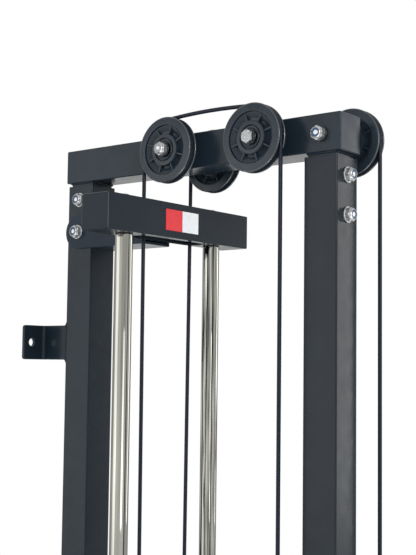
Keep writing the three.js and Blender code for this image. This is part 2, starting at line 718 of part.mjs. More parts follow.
function cableEnds() {
  const highStopTop = HIGH_TAIL_TOP - HIGH_TAIL_LENGTH - SEAT_GAP;
  const highEye = highStopTop - eyeDistance();
  const lowZ = LOW_PULLEY_HEIGHT - PITCH_RADIUS;
  const lowStopStart = LOW_TAIL_START + LOW_TAIL_LENGTH + SEAT_GAP;
  const lowEye = lowStopStart + eyeDistance();
  const lowStop = placed(cableStop('low_cable_stop'), lowStopStart, -CABLE_PLANE, lowZ);
  lowStop.rotation.y = -Math.PI / 2;
  return [
    placed(cableStop('high_cable_stop'), HIGH_TAIL_X, CABLE_PLANE, highStopTop),
    placed(snapHook('high_snap_hook'), HIGH_TAIL_X, CABLE_PLANE, highEye),
    placed(stirrupHandle('high_handle'), HIGH_TAIL_X, CABLE_PLANE, highEye),
    lowStop,
    placed(snapHook('low_snap_hook'), lowEye, -CABLE_PLANE, lowZ),
    placed(stirrupHandle('low_handle'), lowEye, -CABLE_PLANE, lowZ),
  ];
}

function bumper(name, side) {
  const inner = ROD_DIAMETER / 2 + ROD_CLEARANCE / 2;
  const outer = BUMPER_DIAMETER / 2;
  const ring = turned([
    [inner, 0],
    [outer, 0],
    [outer, BUMPER_HEIGHT],
    [inner, BUMPER_HEIGHT],
    [inner, 0],
  ]);
  return placed(piece(name, ring, RUBBER_BLACK), GUIDE_X, (side * ROD_SPACING) / 2, BUMPER_BOTTOM);
}

// A plate about the guide rods' centre, its underside at 0
function plateBlank() {
  const blank = prism(roundedRectangle(PLATE_DEPTH, PLATE_WIDTH, PLATE_CORNER), PLATE_THICKNESS);
  const rodHole = (side) =>
    bar(
      Z_AXIS,
      ROD_DIAMETER / 2 + ROD_CLEARANCE,
      -CUT_OVERRUN,
      PLATE_THICKNESS + CUT_OVERRUN,
      [0, (side * ROD_SPACING) / 2, 0],
      BORE_FACETS,
    );
  return cut(blank, rodHole(-1), rodHole(1));
}

function weightPlate(name, index) {
  const stemHole = bar(
    Z_AXIS,
    STEM_DIAMETER / 2 + STEM_CLEARANCE,
    -CUT_OVERRUN,
    PLATE_THICKNESS + CUT_OVERRUN,
    [FALL_X - GUIDE_X, 0, 0],
    BORE_FACETS,
  );
  const pinHole = bar(
    X_AXIS,
    PIN_DIAMETER / 2 + HOLE_CLEARANCE,
    -PIN_REACH - CUT_OVERRUN,
    PLATE_DEPTH / 2 + CUT_OVERRUN,
    [0, 0, PLATE_THICKNESS / 2],
    HOLE_FACETS,
  );
  const solid = cut(plateBlank(), stemHole, pinHole);
  return placed(piece(name, solid, PLATE_BLACK), GUIDE_X, 0, TOP_PLATE_BOTTOM - index * PLATE_PITCH);
}

function topPlate() {
  const offset = FALL_X - GUIDE_X;
  const seat = PLATE_THICKNESS - STEM_FLANGE_HEIGHT - 2 * SEAT_GAP;
  const solid = cut(
    plateBlank(),
    bar(
      Z_AXIS,
      STEM_DIAMETER / 2 + HOLE_CLEARANCE,
      -CUT_OVERRUN,
      PLATE_THICKNESS,
      [offset, 0, 0],
      ROUND_FACETS,
    ),
    bar(
      Z_AXIS,
      STEM_FLANGE_DIAMETER / 2 + HOLE_CLEARANCE,
      seat,
      PLATE_THICKNESS + CUT_OVERRUN,
      [offset, 0, 0],
      ROUND_FACETS,
    ),
  );
  return placed(piece('stack_top_plate', solid, PLATE_BLACK), GUIDE_X, 0, TOP_PLATE_BOTTOM);
}

// Drilled stem that hangs in the top plate by its flange
function selectorStem() {
  const top = TOP_PLATE_TOP - SEAT_GAP;
  const bottom = STACK_BOTTOM + STEM_END_INSET;
  const length = top - bottom;
  const holeRadius = PIN_DIAMETER / 2 + HOLE_CLEARANCE;
  const pinHoles = Array.from({ length: PLATE_COUNT }, (_, index) => {
    const height = STACK_BOTTOM + index * PLATE_PITCH + PLATE_THICKNESS / 2 - bottom;
    return bar(X_AXIS, holeRadius, -STEM_DIAMETER, STEM_DIAMETER, [0, 0, height], HOLE_FACETS);
  });
  const stem = cut(
    join(
      bar(Z_AXIS, STEM_DIAMETER / 2, 0, length, [0, 0, 0], BORE_FACETS),
      bar(Z_AXIS, STEM_FLANGE_DIAMETER / 2, length - STEM_FLANGE_HEIGHT, length, [0, 0, 0], ROUND_FACETS),
    ),
    ...pinHoles,
  );
  return placed(piece('selector_stem', stem, ZINC), FALL_X, 0, bottom);
}

// Selector pin along +X with its knob outside the front of the stack
function selectorPin() {
  const plateFront = PLATE_DEPTH / 2 + SEAT_GAP;
  const shaft = PIN_DIAMETER / 2;
  const collarEnd = plateFront + PIN_COLLAR_LENGTH;
  const knobEnd = collarEnd + PIN_KNOB_LENGTH;
  const outline = [
    [0, -PIN_REACH],
    [shaft, -PIN_REACH],
    [shaft, plateFront],
    [PIN_COLLAR_RADIUS, plateFront],
    [PIN_COLLAR_RADIUS, collarEnd],
    [PIN_KNOB_RADIUS, collarEnd + PIN_COLLAR_LENGTH],
    [PIN_KNOB_RADIUS, knobEnd - PIN_COLLAR_LENGTH / 2],
    [PIN_COLLAR_RADIUS, knobEnd],
    [0, knobEnd],
  ];
  const pin = piece('selector_pin', turned(outline, ROUND_FACETS), CHROME);
  pin.rotation.y = Math.PI / 2;
  const plateBottom = TOP_PLATE_BOTTOM - PIN_PLATE * PLATE_PITCH;
  return placed(pin, GUIDE_X, 0, plateBottom + PLATE_THICKNESS / 2);
}

function yoke() {
  const inner = HUB_HALF + SEAT_GAP;
  const outer = inner + YOKE_CHEEK;
  const half = YOKE_CHEEK_WIDTH / 2;
  const axle = TRAVELLER_HEIGHT - YOKE_BOTTOM;
  const base = block(
    [-YOKE_BASE_DEPTH / 2, -YOKE_BASE_WIDTH / 2, 0],
    [YOKE_BASE_DEPTH / 2, YOKE_BASE_WIDTH / 2, YOKE_BASE_THICKNESS],
  );
  const outline = new THREE.Shape();
  outline.moveTo(half, 0);
  outline.lineTo(half, axle);
  outline.absarc(0, axle, half, 0, Math.PI);
  outline.lineTo(-half, 0);
  const cheek = toGeometry(prism(outline, YOKE_CHEEK, 2 * QUARTER_FACETS));
  cheek.rotateX(Math.PI / 2);
  cheek.rotateZ(Math.PI / 2);
  const front = toSolid(cheek.clone().translate(inner, 0, 0));
  const rear = toSolid(cheek.clone().translate(-outer, 0, 0));
  const solid = cut(
    join(base, front, rear),
    bar(X_AXIS, BOLT_HOLE_RADIUS, -outer - CUT_OVERRUN, outer + CUT_OVERRUN, [0, 0, axle]),
  );
  return placed(piece('traveller_yoke', solid, FRAME_BLACK), FALL_X, 0, YOKE_BOTTOM);
}

function travellerAxle() {
  const face = HUB_HALF + YOKE_CHEEK + 2 * SEAT_GAP;
  return boltBetween(
    'traveller_axle',
    [FALL_X - face, 0, TRAVELLER_HEIGHT],
    [FALL_X + face, 0, TRAVELLER_HEIGHT],
  );
}

function frameGroup() {
  const lowAxleHole = jointHole(Y_AXIS, LOW_PULLEY_X - UPRIGHT_SPACING, LOW_PULLEY_HEIGHT - UPRIGHT_BOTTOM);
  const group = new THREE.Group();
  group.add(
    upright('rear_upright', 0, Y_AXIS),
    upright('front_upright', UPRIGHT_SPACING, X_AXIS, [lowAxleHole]),
    topBeam(),
    foot('rear_foot', 0, Y_AXIS),
    foot('front_foot', UPRIGHT_SPACING, X_AXIS),
    baseRail(),
    guideBar('guide_head', HEAD_BOTTOM, [cableSlot()]),
    guideBar('guide_foot', GUIDE_FOOT_BOTTOM, []),
    headArm(),
    guideRod('near_guide_rod', -1),
    guideRod('far_guide_rod', 1),
    wallBracket('near_wall_bracket', -1),
    wallBracket('far_wall_bracket', 1),
    bumper('near_bumper', -1),
    bumper('far_bumper', 1),
    ...jointBolts(),
  );
  return group;
}

function pulleyGroup() {
  const group = new THREE.Group();
  group.add(
    pulley('near_stack_pulley', STACK_AXLE_X, -CABLE_PLANE, AXLE_HEIGHT),
    pulley('far_stack_pulley', STACK_AXLE_X, CABLE_PLANE, AXLE_HEIGHT),
    pulley('low_lead_pulley', LOW_LEAD_X, -CABLE_PLANE, AXLE_HEIGHT),
    pulley('high_lead_pulley', HIGH_LEAD_X, CABLE_PLANE, AXLE_HEIGHT),
    pulley('low_pulley', LOW_PULLEY_X, -CABLE_PLANE, LOW_PULLEY_HEIGHT),
    spacer('near_stack_spacer', STACK_AXLE_X, -1, AXLE_HEIGHT),
    spacer('far_stack_spacer', STACK_AXLE_X, 1, AXLE_HEIGHT),
    spacer('low_lead_spacer', LOW_LEAD_X, -1, AXLE_HEIGHT),
    spacer('high_lead_spacer', HIGH_LEAD_X, 1, AXLE_HEIGHT),
    spacer('low_pulley_spacer', LOW_PULLEY_X, -1, LOW_PULLEY_HEIGHT),
    ...axleBolts(),
  );
  return group;
}

function stackGroup() {
  const group = new THREE.Group();
  const plates = Array.from({ length: PLATE_COUNT }, (_, index) =>
    weightPlate(`weight_plate_${index + 1}`, index + 1),
  );
  group.add(
    topPlate(),
    selectorStem(),
    selectorPin(),
    yoke(),
    travellerAxle(),
    pulley('traveller_pulley', FALL_X, 0, TRAVELLER_HEIGHT, X_AXIS),
    ...plates,
  );
  return group;
}

const machine = new THREE.Group();
machine.name = 'wall_pulley_weight_stack';
machine.add(frameGroup(), pulleyGroup(), stackGroup(), ...cables(), ...cableEnds());

export default machine;
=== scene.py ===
"""Wall pulley weight stack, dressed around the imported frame.

Every piece is modelled in millimetres, in the frame's own axes, and scaled to metres when it is finished.
Pieces ride on the frame's bodies, so the machine can be posed.
"""

import logging
import math
from dataclasses import dataclass, field
from enum import Enum
from functools import cached_property
from typing import Iterable, Sequence

import bmesh
import bpy
from mathutils import Matrix, Vector

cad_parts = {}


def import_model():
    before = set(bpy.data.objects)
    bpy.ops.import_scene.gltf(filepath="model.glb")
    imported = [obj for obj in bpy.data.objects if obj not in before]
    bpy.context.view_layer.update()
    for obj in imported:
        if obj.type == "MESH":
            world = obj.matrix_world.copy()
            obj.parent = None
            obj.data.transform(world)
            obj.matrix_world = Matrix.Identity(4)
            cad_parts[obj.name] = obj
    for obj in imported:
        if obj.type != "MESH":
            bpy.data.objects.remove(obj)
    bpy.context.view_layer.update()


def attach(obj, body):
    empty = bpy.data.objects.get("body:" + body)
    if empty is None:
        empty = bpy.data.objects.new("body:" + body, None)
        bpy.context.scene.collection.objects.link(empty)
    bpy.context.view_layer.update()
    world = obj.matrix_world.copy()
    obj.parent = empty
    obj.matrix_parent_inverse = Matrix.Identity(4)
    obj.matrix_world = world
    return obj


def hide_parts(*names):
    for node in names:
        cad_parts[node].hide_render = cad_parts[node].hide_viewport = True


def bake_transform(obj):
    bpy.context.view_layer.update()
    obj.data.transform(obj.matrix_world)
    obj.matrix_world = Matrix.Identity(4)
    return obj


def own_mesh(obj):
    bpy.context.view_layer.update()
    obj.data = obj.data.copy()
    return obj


LOG = logging.getLogger("wall_pulley")
MM = 0.001
# The range that most of a noise's values lie in.
NOISE_RANGE = (0.3, 0.7)
MERGE_DISTANCE = 0.0005
# Edges sharper than this are rounded, in degrees, so that rounded corners stay as they are.
SHARP_EDGES = 60.0
# How far a cutter reaches past the face that it opens.
CUTTER_EXCESS = 1.0
PULLEY_FACETS = 128

Point = Sequence[float]
Profile = Sequence[Point]
Colour = tuple[float, float, float]
Socket = bpy.types.NodeSocket


class Axis(Enum):
    """A row axis, with the turn that brings +Z onto it."""

    X = Matrix.Rotation(math.pi / 2, 4, "Y")
    Y = Matrix.Rotation(-math.pi / 2, 4, "X")
    Z = Matrix.Identity(4)
    MINUS_X = Matrix.Rotation(-math.pi / 2, 4, "Y")
    MINUS_Y = Matrix.Rotation(math.pi / 2, 4, "X")
    MINUS_Z = Matrix.Rotation(math.pi, 4, "X")


class Side(Enum):
    """The side of the machine, as the sign of Y."""

    NEAR = -1
    FAR = 1

    @property
    def word(self) -> str:
        """The side's name in lower case."""
        return self.name.lower()


class Body(Enum):
    """The frame's moving bodies."""

    FRAME = "frame"
    STACK = "stack"
    PIN = "selector_pin"
    HIGH_END = "high_cable_end"
    HIGH_HANDLE = "high_handle"
    LOW_END = "low_cable_end"
    LOW_HANDLE = "low_handle"


class Slot(Enum):
    """The record's material slots."""

    FRAME_PAINT = "frame_paint"
    STACK_PAINT = "stack_paint"
    CHROME = "chrome_rod"
    NYLON = "nylon"
    CABLE = "coated_cable"
    RUBBER = "rubber"
    STEEL = "bright_steel"
    ZINC = "zinc_fastener"


class Bench:
    """Builds the node tree of one material."""

    def __init__(self, name: str) -> None:
        """Start a material with a bare principled shader.

        Args:
            name: The material's name.
        """
        self.material = bpy.data.materials.new(name)
        self.material.use_nodes = True
        self.tree = self.material.node_tree
        self.tree.nodes.clear()
        self.output = self.node("ShaderNodeOutputMaterial")
        self.shader = self.node("ShaderNodeBsdfPrincipled")
        self.tree.links.new(self.shader.outputs["BSDF"], self.output.inputs["Surface"])

    def node(self, kind: str, **values: object) -> bpy.types.Node:
        """Add a node.

        Args:
            kind: The node's type name.
            **values: Values for its sockets, with spaces in names as underscores.

        Returns:
            The new node.
        """
        made = self.tree.nodes.new(kind)
        for name, value in values.items():
            made.inputs[name.replace("_", " ")].default_value = value
        return made

    def link(self, source: Socket, node: bpy.types.Node, name: str) -> None:
        """Link a socket to a node's named input."""
        self.tree.links.new(source, node.inputs[name])

    def place(self, scale: Point = (1.0, 1.0, 1.0)) -> Socket:
        """Object coordinates, stretched by a scale.

        Args:
            scale: The factor for each axis.

        Returns:
            The mapped vector.
        """
        source = self.node("ShaderNodeTexCoord")
        mapping = self.node("ShaderNodeMapping", Scale=tuple(scale))
        self.link(source.outputs["Object"], mapping, "Vector")
        return mapping.outputs["Vector"]

    def noise(self, place: Socket, scale: float, detail: float = 3.0) -> Socket:
        """A noise pattern.

        Args:
            place: The coordinates that it reads.
            scale: Cells in a metre.
            detail: How many octaves it has.

        Returns:
            The pattern, from 0 to 1.
        """
        made = self.node("ShaderNodeTexNoise", Scale=scale, Detail=detail)
        self.link(place, made, "Vector")
        return made.outputs["Fac"]

    def spread(self, source: Socket, low: float, high: float) -> Socket:
        """A pattern's middle range stretched between two values.

        Args:
            source: The pattern.
            low: The value at the pattern's dark end.
            high: The value at its bright end.

        Returns:
            The stretched value.
        """
        start, end = NOISE_RANGE
        made = self.node("ShaderNodeMapRange", From_Min=start, From_Max=end, To_Min=low, To_Max=high)
        self.link(source, made, "Value")
        return made.outputs["Result"]

    def tint(self, source: Socket, colour: Colour, factors: tuple[float, float]) -> None:
        """Colour the surface between two shades of a colour by a pattern.

        Args:
            source: The pattern.
            colour: The colour.
            factors: Its factors at the pattern's dark and bright ends.
        """
        ramp = self.node("ShaderNodeValToRGB")
        for stop, position, factor in zip(ramp.color_ramp.elements, NOISE_RANGE, factors):
            stop.position = position
            stop.color = (*(part * factor for part in colour), 1.0)
        self.link(source, ramp, "Fac")
        self.link(ramp.outputs["Color"], self.shader, "Base Color")

    def relief(self, source: Socket, strength: float, depth: float) -> None:
        """Raise the surface by a pattern.

        Args:
            source: The pattern of heights.
            strength: How much of the relief shows.
            depth: Its height in metres.
        """
        bump = self.node("ShaderNodeBump", Strength=strength, Distance=depth)
        self.link(source, bump, "Height")
        self.link(bump.outputs["Normal"], self.shader, "Normal")

    def set(self, **values: object) -> None:
        """Set sockets of the shader, with spaces in names as underscores."""
        for name, value in values.items():
            self.shader.inputs[name.replace("_", " ")].default_value = value


@dataclass(frozen=True)
class Finish:
    """A procedural surface for one of the record's slots, its colour, gloss and height following noise."""

    name: str
    slot: Slot
    colour: Colour
    roughness: float

    @cached_property
    def material(self) -> bpy.types.Material:
        """The finished material."""
        bench = Bench(self.name)
        self.dress(bench)
        return bench.material

    def dress(self, bench: Bench) -> None:
        """Set the surface up, which every kind of finish does in its own way."""
        raise NotImplementedError


@dataclass(frozen=True)
class PowderCoat(Finish):
    """Satin black powder coat with the fine ripple of baked paint."""

    ripple: float = 700.0
    ripple_depth: float = 0.00004
    specular: float = 0.16
    cloud: float = 9.0
    contrast: tuple[float, float] = (0.88, 1.14)
    gloss_cloud: float = 55.0
    gloss_swing: tuple[float, float] = (0.035, 0.045)

    def dress(self, bench: Bench) -> None:
        """Cloud the colour and the gloss faintly, and ripple the surface."""
        place = bench.place()
        down, up = self.gloss_swing
        bench.tint(bench.noise(place, self.cloud, 4.0), self.colour, self.contrast)
        gloss = bench.spread(bench.noise(place, self.gloss_cloud), self.roughness - down, self.roughness + up)
        bench.link(gloss, bench.shader, "Roughness")
        bench.relief(bench.noise(place, self.ripple, 2.0), 0.3, self.ripple_depth)
        bench.set(Specular_IOR_Level=self.specular)


@dataclass(frozen=True)
class Plating(Finish):
    """A plated metal with faint drawing lines, colour streaks and cloudy gloss; on the chrome rods the colour
    streaks are painted reflections.
    """

    cloud: float = 120.0
    contrast: tuple[float, float] = (0.84, 1.1)
    edge: float = 1.0
    lines: Point = (1.0, 1.0, 1.0)
    line_scale: float = 400.0
    line_depth: float = 0.00002
    metallic: float = 1.0
    gloss_swing: tuple[float, float] = (0.75, 1.3)

    def dress(self, bench: Bench) -> None:
        """Streak the colour and score the surface along the drawing lines, and cloud the gloss; on the chrome
        rods the colour streaks are painted reflections.
        """
        place = bench.place()
        drawn = bench.place(self.lines)
        low, high = (self.roughness * factor for factor in self.gloss_swing)
        bench.tint(bench.noise(drawn, self.cloud), self.colour, self.contrast)
        bench.link(bench.spread(bench.noise(place, self.cloud, 2.0), low, high), bench.shader, "Roughness")
        bench.relief(bench.noise(drawn, self.line_scale, 2.0), 0.25, self.line_depth)
        bench.set(Metallic=self.metallic, Specular_Tint=(self.edge, self.edge, self.edge, 1.0))


@dataclass(frozen=True)
class Moulding(Finish):
    """A moulded plastic or rubber with a fine matt grain."""

    grain: float = 1500.0
    grain_depth: float = 0.00008
    specular: float = 0.3
    cloud: float = 60.0
    contrast: tuple[float, float] = (0.82, 1.2)
    gloss_swing: tuple[float, float] = (0.05, 0.07)

    def dress(self, bench: Bench) -> None:
        """Cloud the colour and the gloss, and grain the surface."""
        place = bench.place()
        down, up = self.gloss_swing
        bench.tint(bench.noise(place, self.cloud, 4.0), self.colour, self.contrast)
        gloss = bench.spread(bench.noise(place, self.cloud * 2), self.roughness - down, self.roughness + up)
        bench.link(gloss, bench.shader, "Roughness")
        bench.relief(bench.noise(place, self.grain), 0.3, self.grain_depth)
        bench.set(Specular_IOR_Level=self.specular)


@dataclass(frozen=True)
class Enamel(Finish):
    """A smooth printed colour under a clear lacquer."""

    metallic: float = 0.0
    cloud: float = 220.0
    contrast: tuple[float, float] = (0.94, 1.05)
    gloss_cloud: float = 90.0
    gloss_rise: float = 0.12
    grain: float = 900.0
    grain_depth: float = 0.00004

    def dress(self, bench: Bench) -> None:
        """Cloud the colour and the gloss faintly under the lacquer."""
        place = bench.place()
        bench.tint(bench.noise(place, self.cloud), self.colour, self.contrast)
        pattern = bench.noise(place, self.gloss_cloud, 2.0)
        gloss = bench.spread(pattern, self.roughness, self.roughness + self.gloss_rise)
        bench.link(gloss, bench.shader, "Roughness")
        bench.relief(bench.noise(place, self.grain, 2.0), 0.1, self.grain_depth)
        bench.set(Metallic=self.metallic, Specular_IOR_Level=0.25, Coat_Weight=0.08, Coat_Roughness=0.12)


# Stretched along Z: the drawing lines of the bump, and colour streaks that are painted reflections on the
# chrome rods.
DRAWN_AND_REFLECTION_STREAKS = {"lines": (1.0, 1.0, 0.02), "line_scale": 900.0, "line_depth": 0.00001}
BRIGHT = {"edge": 0.9, "metallic": 0.72}
WORN = {"edge": 0.9, "line_scale": 600.0, "line_depth": 0.0001}


class Paint(Enum):
    """Every finish on the machine. The frame's one paint comes in several shades: copies of it made lighter
    or warmer as painted light, for how the light falls on each part.
    """

    FRAME = PowderCoat("frame_powder_coat", Slot.FRAME_PAINT, (0.009, 0.0157, 0.0228), 0.23)
    # The front upright's, beam's, guide head's and arm's shades are painted light: copies of the frame's
    # paint made lighter or warmer for how the light falls on those parts.
    FRONT = PowderCoat("front_powder_coat", Slot.FRAME_PAINT, (0.0106, 0.0153, 0.0206), 0.23)
    BEAM = PowderCoat("beam_powder_coat", Slot.FRAME_PAINT, (0.0118, 0.02, 0.0287), 0.23)
    HEAD = PowderCoat("head_powder_coat", Slot.FRAME_PAINT, (0.021, 0.0275, 0.0355), 0.23, specular=0.05)
    ARM = PowderCoat("arm_powder_coat", Slot.FRAME_PAINT, (0.0158, 0.0265, 0.04), 0.23, specular=0.08)
    # Pale grey for thin strips on the guide head's edges: a painted highlight.
    HEAD_EDGE_HIGHLIGHT = PowderCoat("head_edge_highlight_coat", Slot.FRAME_PAINT, (0.06, 0.064, 0.068), 0.3)
    PLATE = PowderCoat("plate_powder_coat", Slot.STACK_PAINT, (0.012, 0.013, 0.015), 0.5, 420.0, 0.0002, 0.33)
    NYLON = Moulding("pulley_nylon", Slot.NYLON, (0.0145, 0.0232, 0.0325), 0.3, specular=0.25)
    # Glossier nylon for the flange edges, paler than the pulley's own: the paler colour is a painted
    # highlight.
    EDGE = Moulding("pulley_edge_highlight_nylon", Slot.NYLON, (0.023, 0.03, 0.038), 0.26, specular=0.75)
    # Near-black steel for the pulleys' bearings: painted shade, for the shade inside the hubs.
    BEARING = Plating("bearing_painted_shade_steel", Slot.STEEL, (0.025, 0.028, 0.032), 0.4)
    CABLE = Moulding("cable_coating", Slot.CABLE, (0.003, 0.006, 0.015), 0.4, 900.0, 0.00005, 0.2)
    RUBBER = Moulding("bumper_rubber", Slot.RUBBER, (0.016, 0.016, 0.017), 0.72, 1100.0, 0.00014)
    CAP = Moulding("cap_plastic", Slot.RUBBER, (0.014, 0.015, 0.017), 0.55)
    GRIP = Moulding("grip_foam_rubber", Slot.RUBBER, (0.020, 0.020, 0.022), 0.8, 700.0, 0.0003)
    KNOB = Moulding("knob_plastic", Slot.STEEL, (0.02, 0.02, 0.022), 0.3)
    INSERT = Moulding("nut_insert_nylon", Slot.NYLON, (0.03, 0.075, 0.15), 0.4)
    PALE_INSERT = Moulding("nut_insert_pale_nylon", Slot.NYLON, (0.3, 0.31, 0.32), 0.4)
    # Both rods' chromes are streaked along Z with painted reflections, the far rod's much darker and
    # stronger.
    CHROME = Plating("rod_chrome", Slot.CHROME, (0.335, 0.333, 0.3), 0.045, 190.0, (0.62, 1.4), 0.35, **DRAWN_AND_REFLECTION_STREAKS)
    REFLECTION_STREAKED_CHROME = Plating(
        "reflection_streaked_rod_chrome", Slot.CHROME, (0.36, 0.357, 0.325), 0.045, 420.0, (0.08, 1.6), 0.35, **DRAWN_AND_REFLECTION_STREAKS
    )
    ZINC = Plating("fastener_zinc", Slot.ZINC, (0.5, 0.51, 0.515), 0.3, 240.0, (0.6, 1.25), **BRIGHT)
    # Rougher zinc for one axle's bolt and nut, its colour darker than the other zinc's as painted shade on
    # the flat head.
    DULL_SHADED_ZINC = Plating("bolt_head_shaded_zinc", Slot.ZINC, (0.31, 0.32, 0.325), 0.42, 700.0, (0.45, 1.4), **WORN)
    # Near-black zinc for the axle washers: painted shade, standing in for the shade round the pulleys' hubs.
    SHADE_DARK_ZINC = Plating("washer_painted_shade_zinc", Slot.ZINC, (0.045, 0.05, 0.055), 0.35, 240.0)
    STEEL = Plating("hook_steel", Slot.STEEL, (0.4, 0.41, 0.42), 0.24, 60.0, (0.9, 1.05), line_depth=0.000004)
    RED = Enamel("badge_red", Slot.FRAME_PAINT, (0.72, 0.022, 0.03), 0.3)
    SILVER = Enamel("badge_silver", Slot.FRAME_PAINT, (0.62, 0.64, 0.66), 0.3, 0.6)


def placed(item: bpy.types.Object) -> bpy.types.Object:
    """Put an object in the scene."""
    bpy.context.scene.collection.objects.link(item)
    return item


class Form:
    """A mesh in the making, in millimetres."""

    def __init__(self) -> None:
        """Start with an empty mesh."""
        self.bm = bmesh.new()

    @classmethod
    def block(cls, low: Point, high: Point) -> "Form":
        """A box between two corners."""
        form = cls()
        corner = Vector(low)
        size = Vector(high) - corner
        made = bmesh.ops.create_cube(form.bm, size=1.0)["verts"]
        bmesh.ops.scale(form.bm, vec=size, verts=made)
        bmesh.ops.translate(form.bm, vec=corner + size / 2, verts=made)
        return form

    @classmethod
    def rod(cls, radius: float, low: float, high: float, segments: int = 48) -> "Form":
        """A round bar along +Z.

        Args:
            radius: Its radius.
            low: The height of its lower end.
            high: The height of its upper end.
            segments: Facets round it.

        Returns:
            The bar.
        """
        form = cls()
        made = bmesh.ops.create_cone(
            form.bm, cap_ends=True, segments=segments, radius1=radius, radius2=radius, depth=high - low
        )["verts"]
        bmesh.ops.translate(form.bm, vec=(0.0, 0.0, (low + high) / 2), verts=made)
        return form

    @classmethod
    def turned(cls, profile: Sequence[Point], segments: int = 64) -> "Form":
        """A solid of revolution about +Z.

        Args:
            profile: Points of radius and height, from one end on the axis, or back to the first point.
            segments: Facets round it.

        Returns:
            The turned solid.
        """
        form = cls()
        verts = [form.bm.verts.new((radius, 0.0, height)) for radius, height in profile]
        edges = [form.bm.edges.new(pair) for pair in zip(verts, verts[1:])]
        bmesh.ops.spin(
            form.bm,
            geom=verts + edges,
            cent=(0.0, 0.0, 0.0),
            axis=(0.0, 0.0, 1.0),
            dvec=(0.0, 0.0, 0.0),
            angle=2 * math.pi,
            steps=segments,
            use_merge=True,
        )
        return form.closed()

    @classmethod
    def prism(cls, outline: Sequence[Point], depth: float) -> "Form":
        """An outline in the XY plane raised along +Z from 0.

        Args:
            outline: The outline's points.
            depth: The prism's height.

        Returns:
            The prism.
        """
        form = cls()
        face = form.bm.faces.new([form.bm.verts.new((x, y, 0.0)) for x, y in outline])
        raised = bmesh.ops.extrude_face_region(form.bm, geom=[face])["geom"]
        verts = [item for item in raised if isinstance(item, bmesh.types.BMVert)]
        bmesh.ops.translate(form.bm, vec=(0.0, 0.0, depth), verts=verts)
        return form.closed()

    @classmethod
    def swept(cls, path: Sequence[Point], radius: float, segments: int = 20) -> "Form":
        """A round wire along a path, its ends closed.

        Args:
            path: The points of its centre line.
            radius: The wire's radius.
            segments: Facets round it.

        Returns:
            The wire.
        """
        form = cls()
        points = [Vector(point) for point in path]
        steps = [(b - a).normalized() for a, b in zip(points, points[1:])]
        headings = [steps[0]] + [(a + b).normalized() for a, b in zip(steps, steps[1:])] + [steps[-1]]
        turn = Vector((0.0, 0.0, 1.0)).rotation_difference(headings[0]).to_matrix().to_4x4()
        start = Matrix.Translation(points[0]) @ turn
        bmesh.ops.create_circle(form.bm, cap_ends=True, radius=radius, segments=segments, matrix=start)
        face = form.bm.faces[:][0]
        for index in range(1, len(points)):
            grown = bmesh.ops.extrude_face_region(form.bm, geom=[face])["geom"]
            verts = [item for item in grown if isinstance(item, bmesh.types.BMVert)]
            face = next(item for item in grown if isinstance(item, bmesh.types.BMFace))
            bmesh.ops.translate(form.bm, vec=points[index] - points[index - 1], verts=verts)
            bend = headings[index - 1].rotation_difference(headings[index]).to_matrix()
            bmesh.ops.rotate(form.bm, cent=points[index], matrix=bend, verts=verts)
        return form.closed()

    @classmethod
    def ring(cls, radius: float, wire: float, segments: int = 48, around: int = 20) -> "Form":
        """A torus about +Z.

        Args:
            radius: The radius of its centre line.
            wire: The radius of its wire.
            segments: Facets along it.
            around: Facets round the wire.

        Returns:
            The torus.
        """
        angles = [2 * math.pi * index / around for index in range(around + 1)]
        return cls.turned([(radius + wire * math.cos(a), wire * math.sin(a)) for a in angles], segments)

    def closed(self) -> "Form":
        """Merge doubles and point the faces outwards."""
        bmesh.ops.remove_doubles(self.bm, verts=self.bm.verts[:], dist=MERGE_DISTANCE)
        bmesh.ops.recalc_face_normals(self.bm, faces=self.bm.faces[:])
        return self

    def copy(self) -> "Form":
        """The same shape once more."""
        form = Form()
        form.bm = self.bm.copy()
        return form

    def along(self, axis: Axis) -> "Form":
        """Turn the shape so that +Z becomes the axis."""
        return self.moved(axis.value)

    def moved(self, matrix: Matrix) -> "Form":
        """Move the shape by a matrix."""
        bmesh.ops.transform(self.bm, matrix=matrix, verts=self.bm.verts[:])
        return self

    def at(self, x: float, y: float, z: float) -> "Form":
        """Shift the shape."""
        return self.moved(Matrix.Translation((x, y, z)))

    def joined(self, *others: "Form") -> "Form":
        """Add other shapes to this one, each as its own shell."""
        for other in others:
            mesh = other.mesh("shell")
            self.bm.from_mesh(mesh)
            bpy.data.meshes.remove(mesh)
        return self

    def mesh(self, name: str) -> bpy.types.Mesh:
        """The shape as a new mesh, still in millimetres."""
        mesh = bpy.data.meshes.new(name)
        self.bm.to_mesh(mesh)
        return mesh

    def cut(self, *tools: "Form") -> "Form":
        """Cut other shapes out of this one."""
        return self.combined("DIFFERENCE", tools)

    def common(self, tool: "Form") -> "Form":
        """Keep what lies inside the other shape too."""
        return self.combined("INTERSECT", (tool,))

    def combined(self, operation: str, tools: Iterable["Form"]) -> "Form":
        """Apply a boolean with each tool in turn.

        Args:
            operation: The boolean's name.
            tools: The other shapes.

        Returns:
            This shape, changed.
        """
        body = bpy.data.objects.new("blank", self.mesh("blank"))
        helpers = [body]
        for tool in tools:
            cutter = bpy.data.objects.new("tool", tool.mesh("tool"))
            helpers.append(cutter)
            step = body.modifiers.new("step", "BOOLEAN")
            step.operation = operation
            step.solver = "EXACT"
            step.object = cutter
        for helper in helpers:
            placed(helper)
        graph = bpy.context.evaluated_depsgraph_get()
        result = bpy.data.meshes.new_from_object(body.evaluated_get(graph))
        self.bm.clear()
        self.bm.from_mesh(result)
        bpy.data.meshes.remove(result)
        for helper in helpers:
            mesh = helper.data
            bpy.data.objects.remove(helper)
            bpy.data.meshes.remove(mesh)
        bmesh.ops.remove_doubles(self.bm, verts=self.bm.verts[:], dist=MERGE_DISTANCE)
        return self

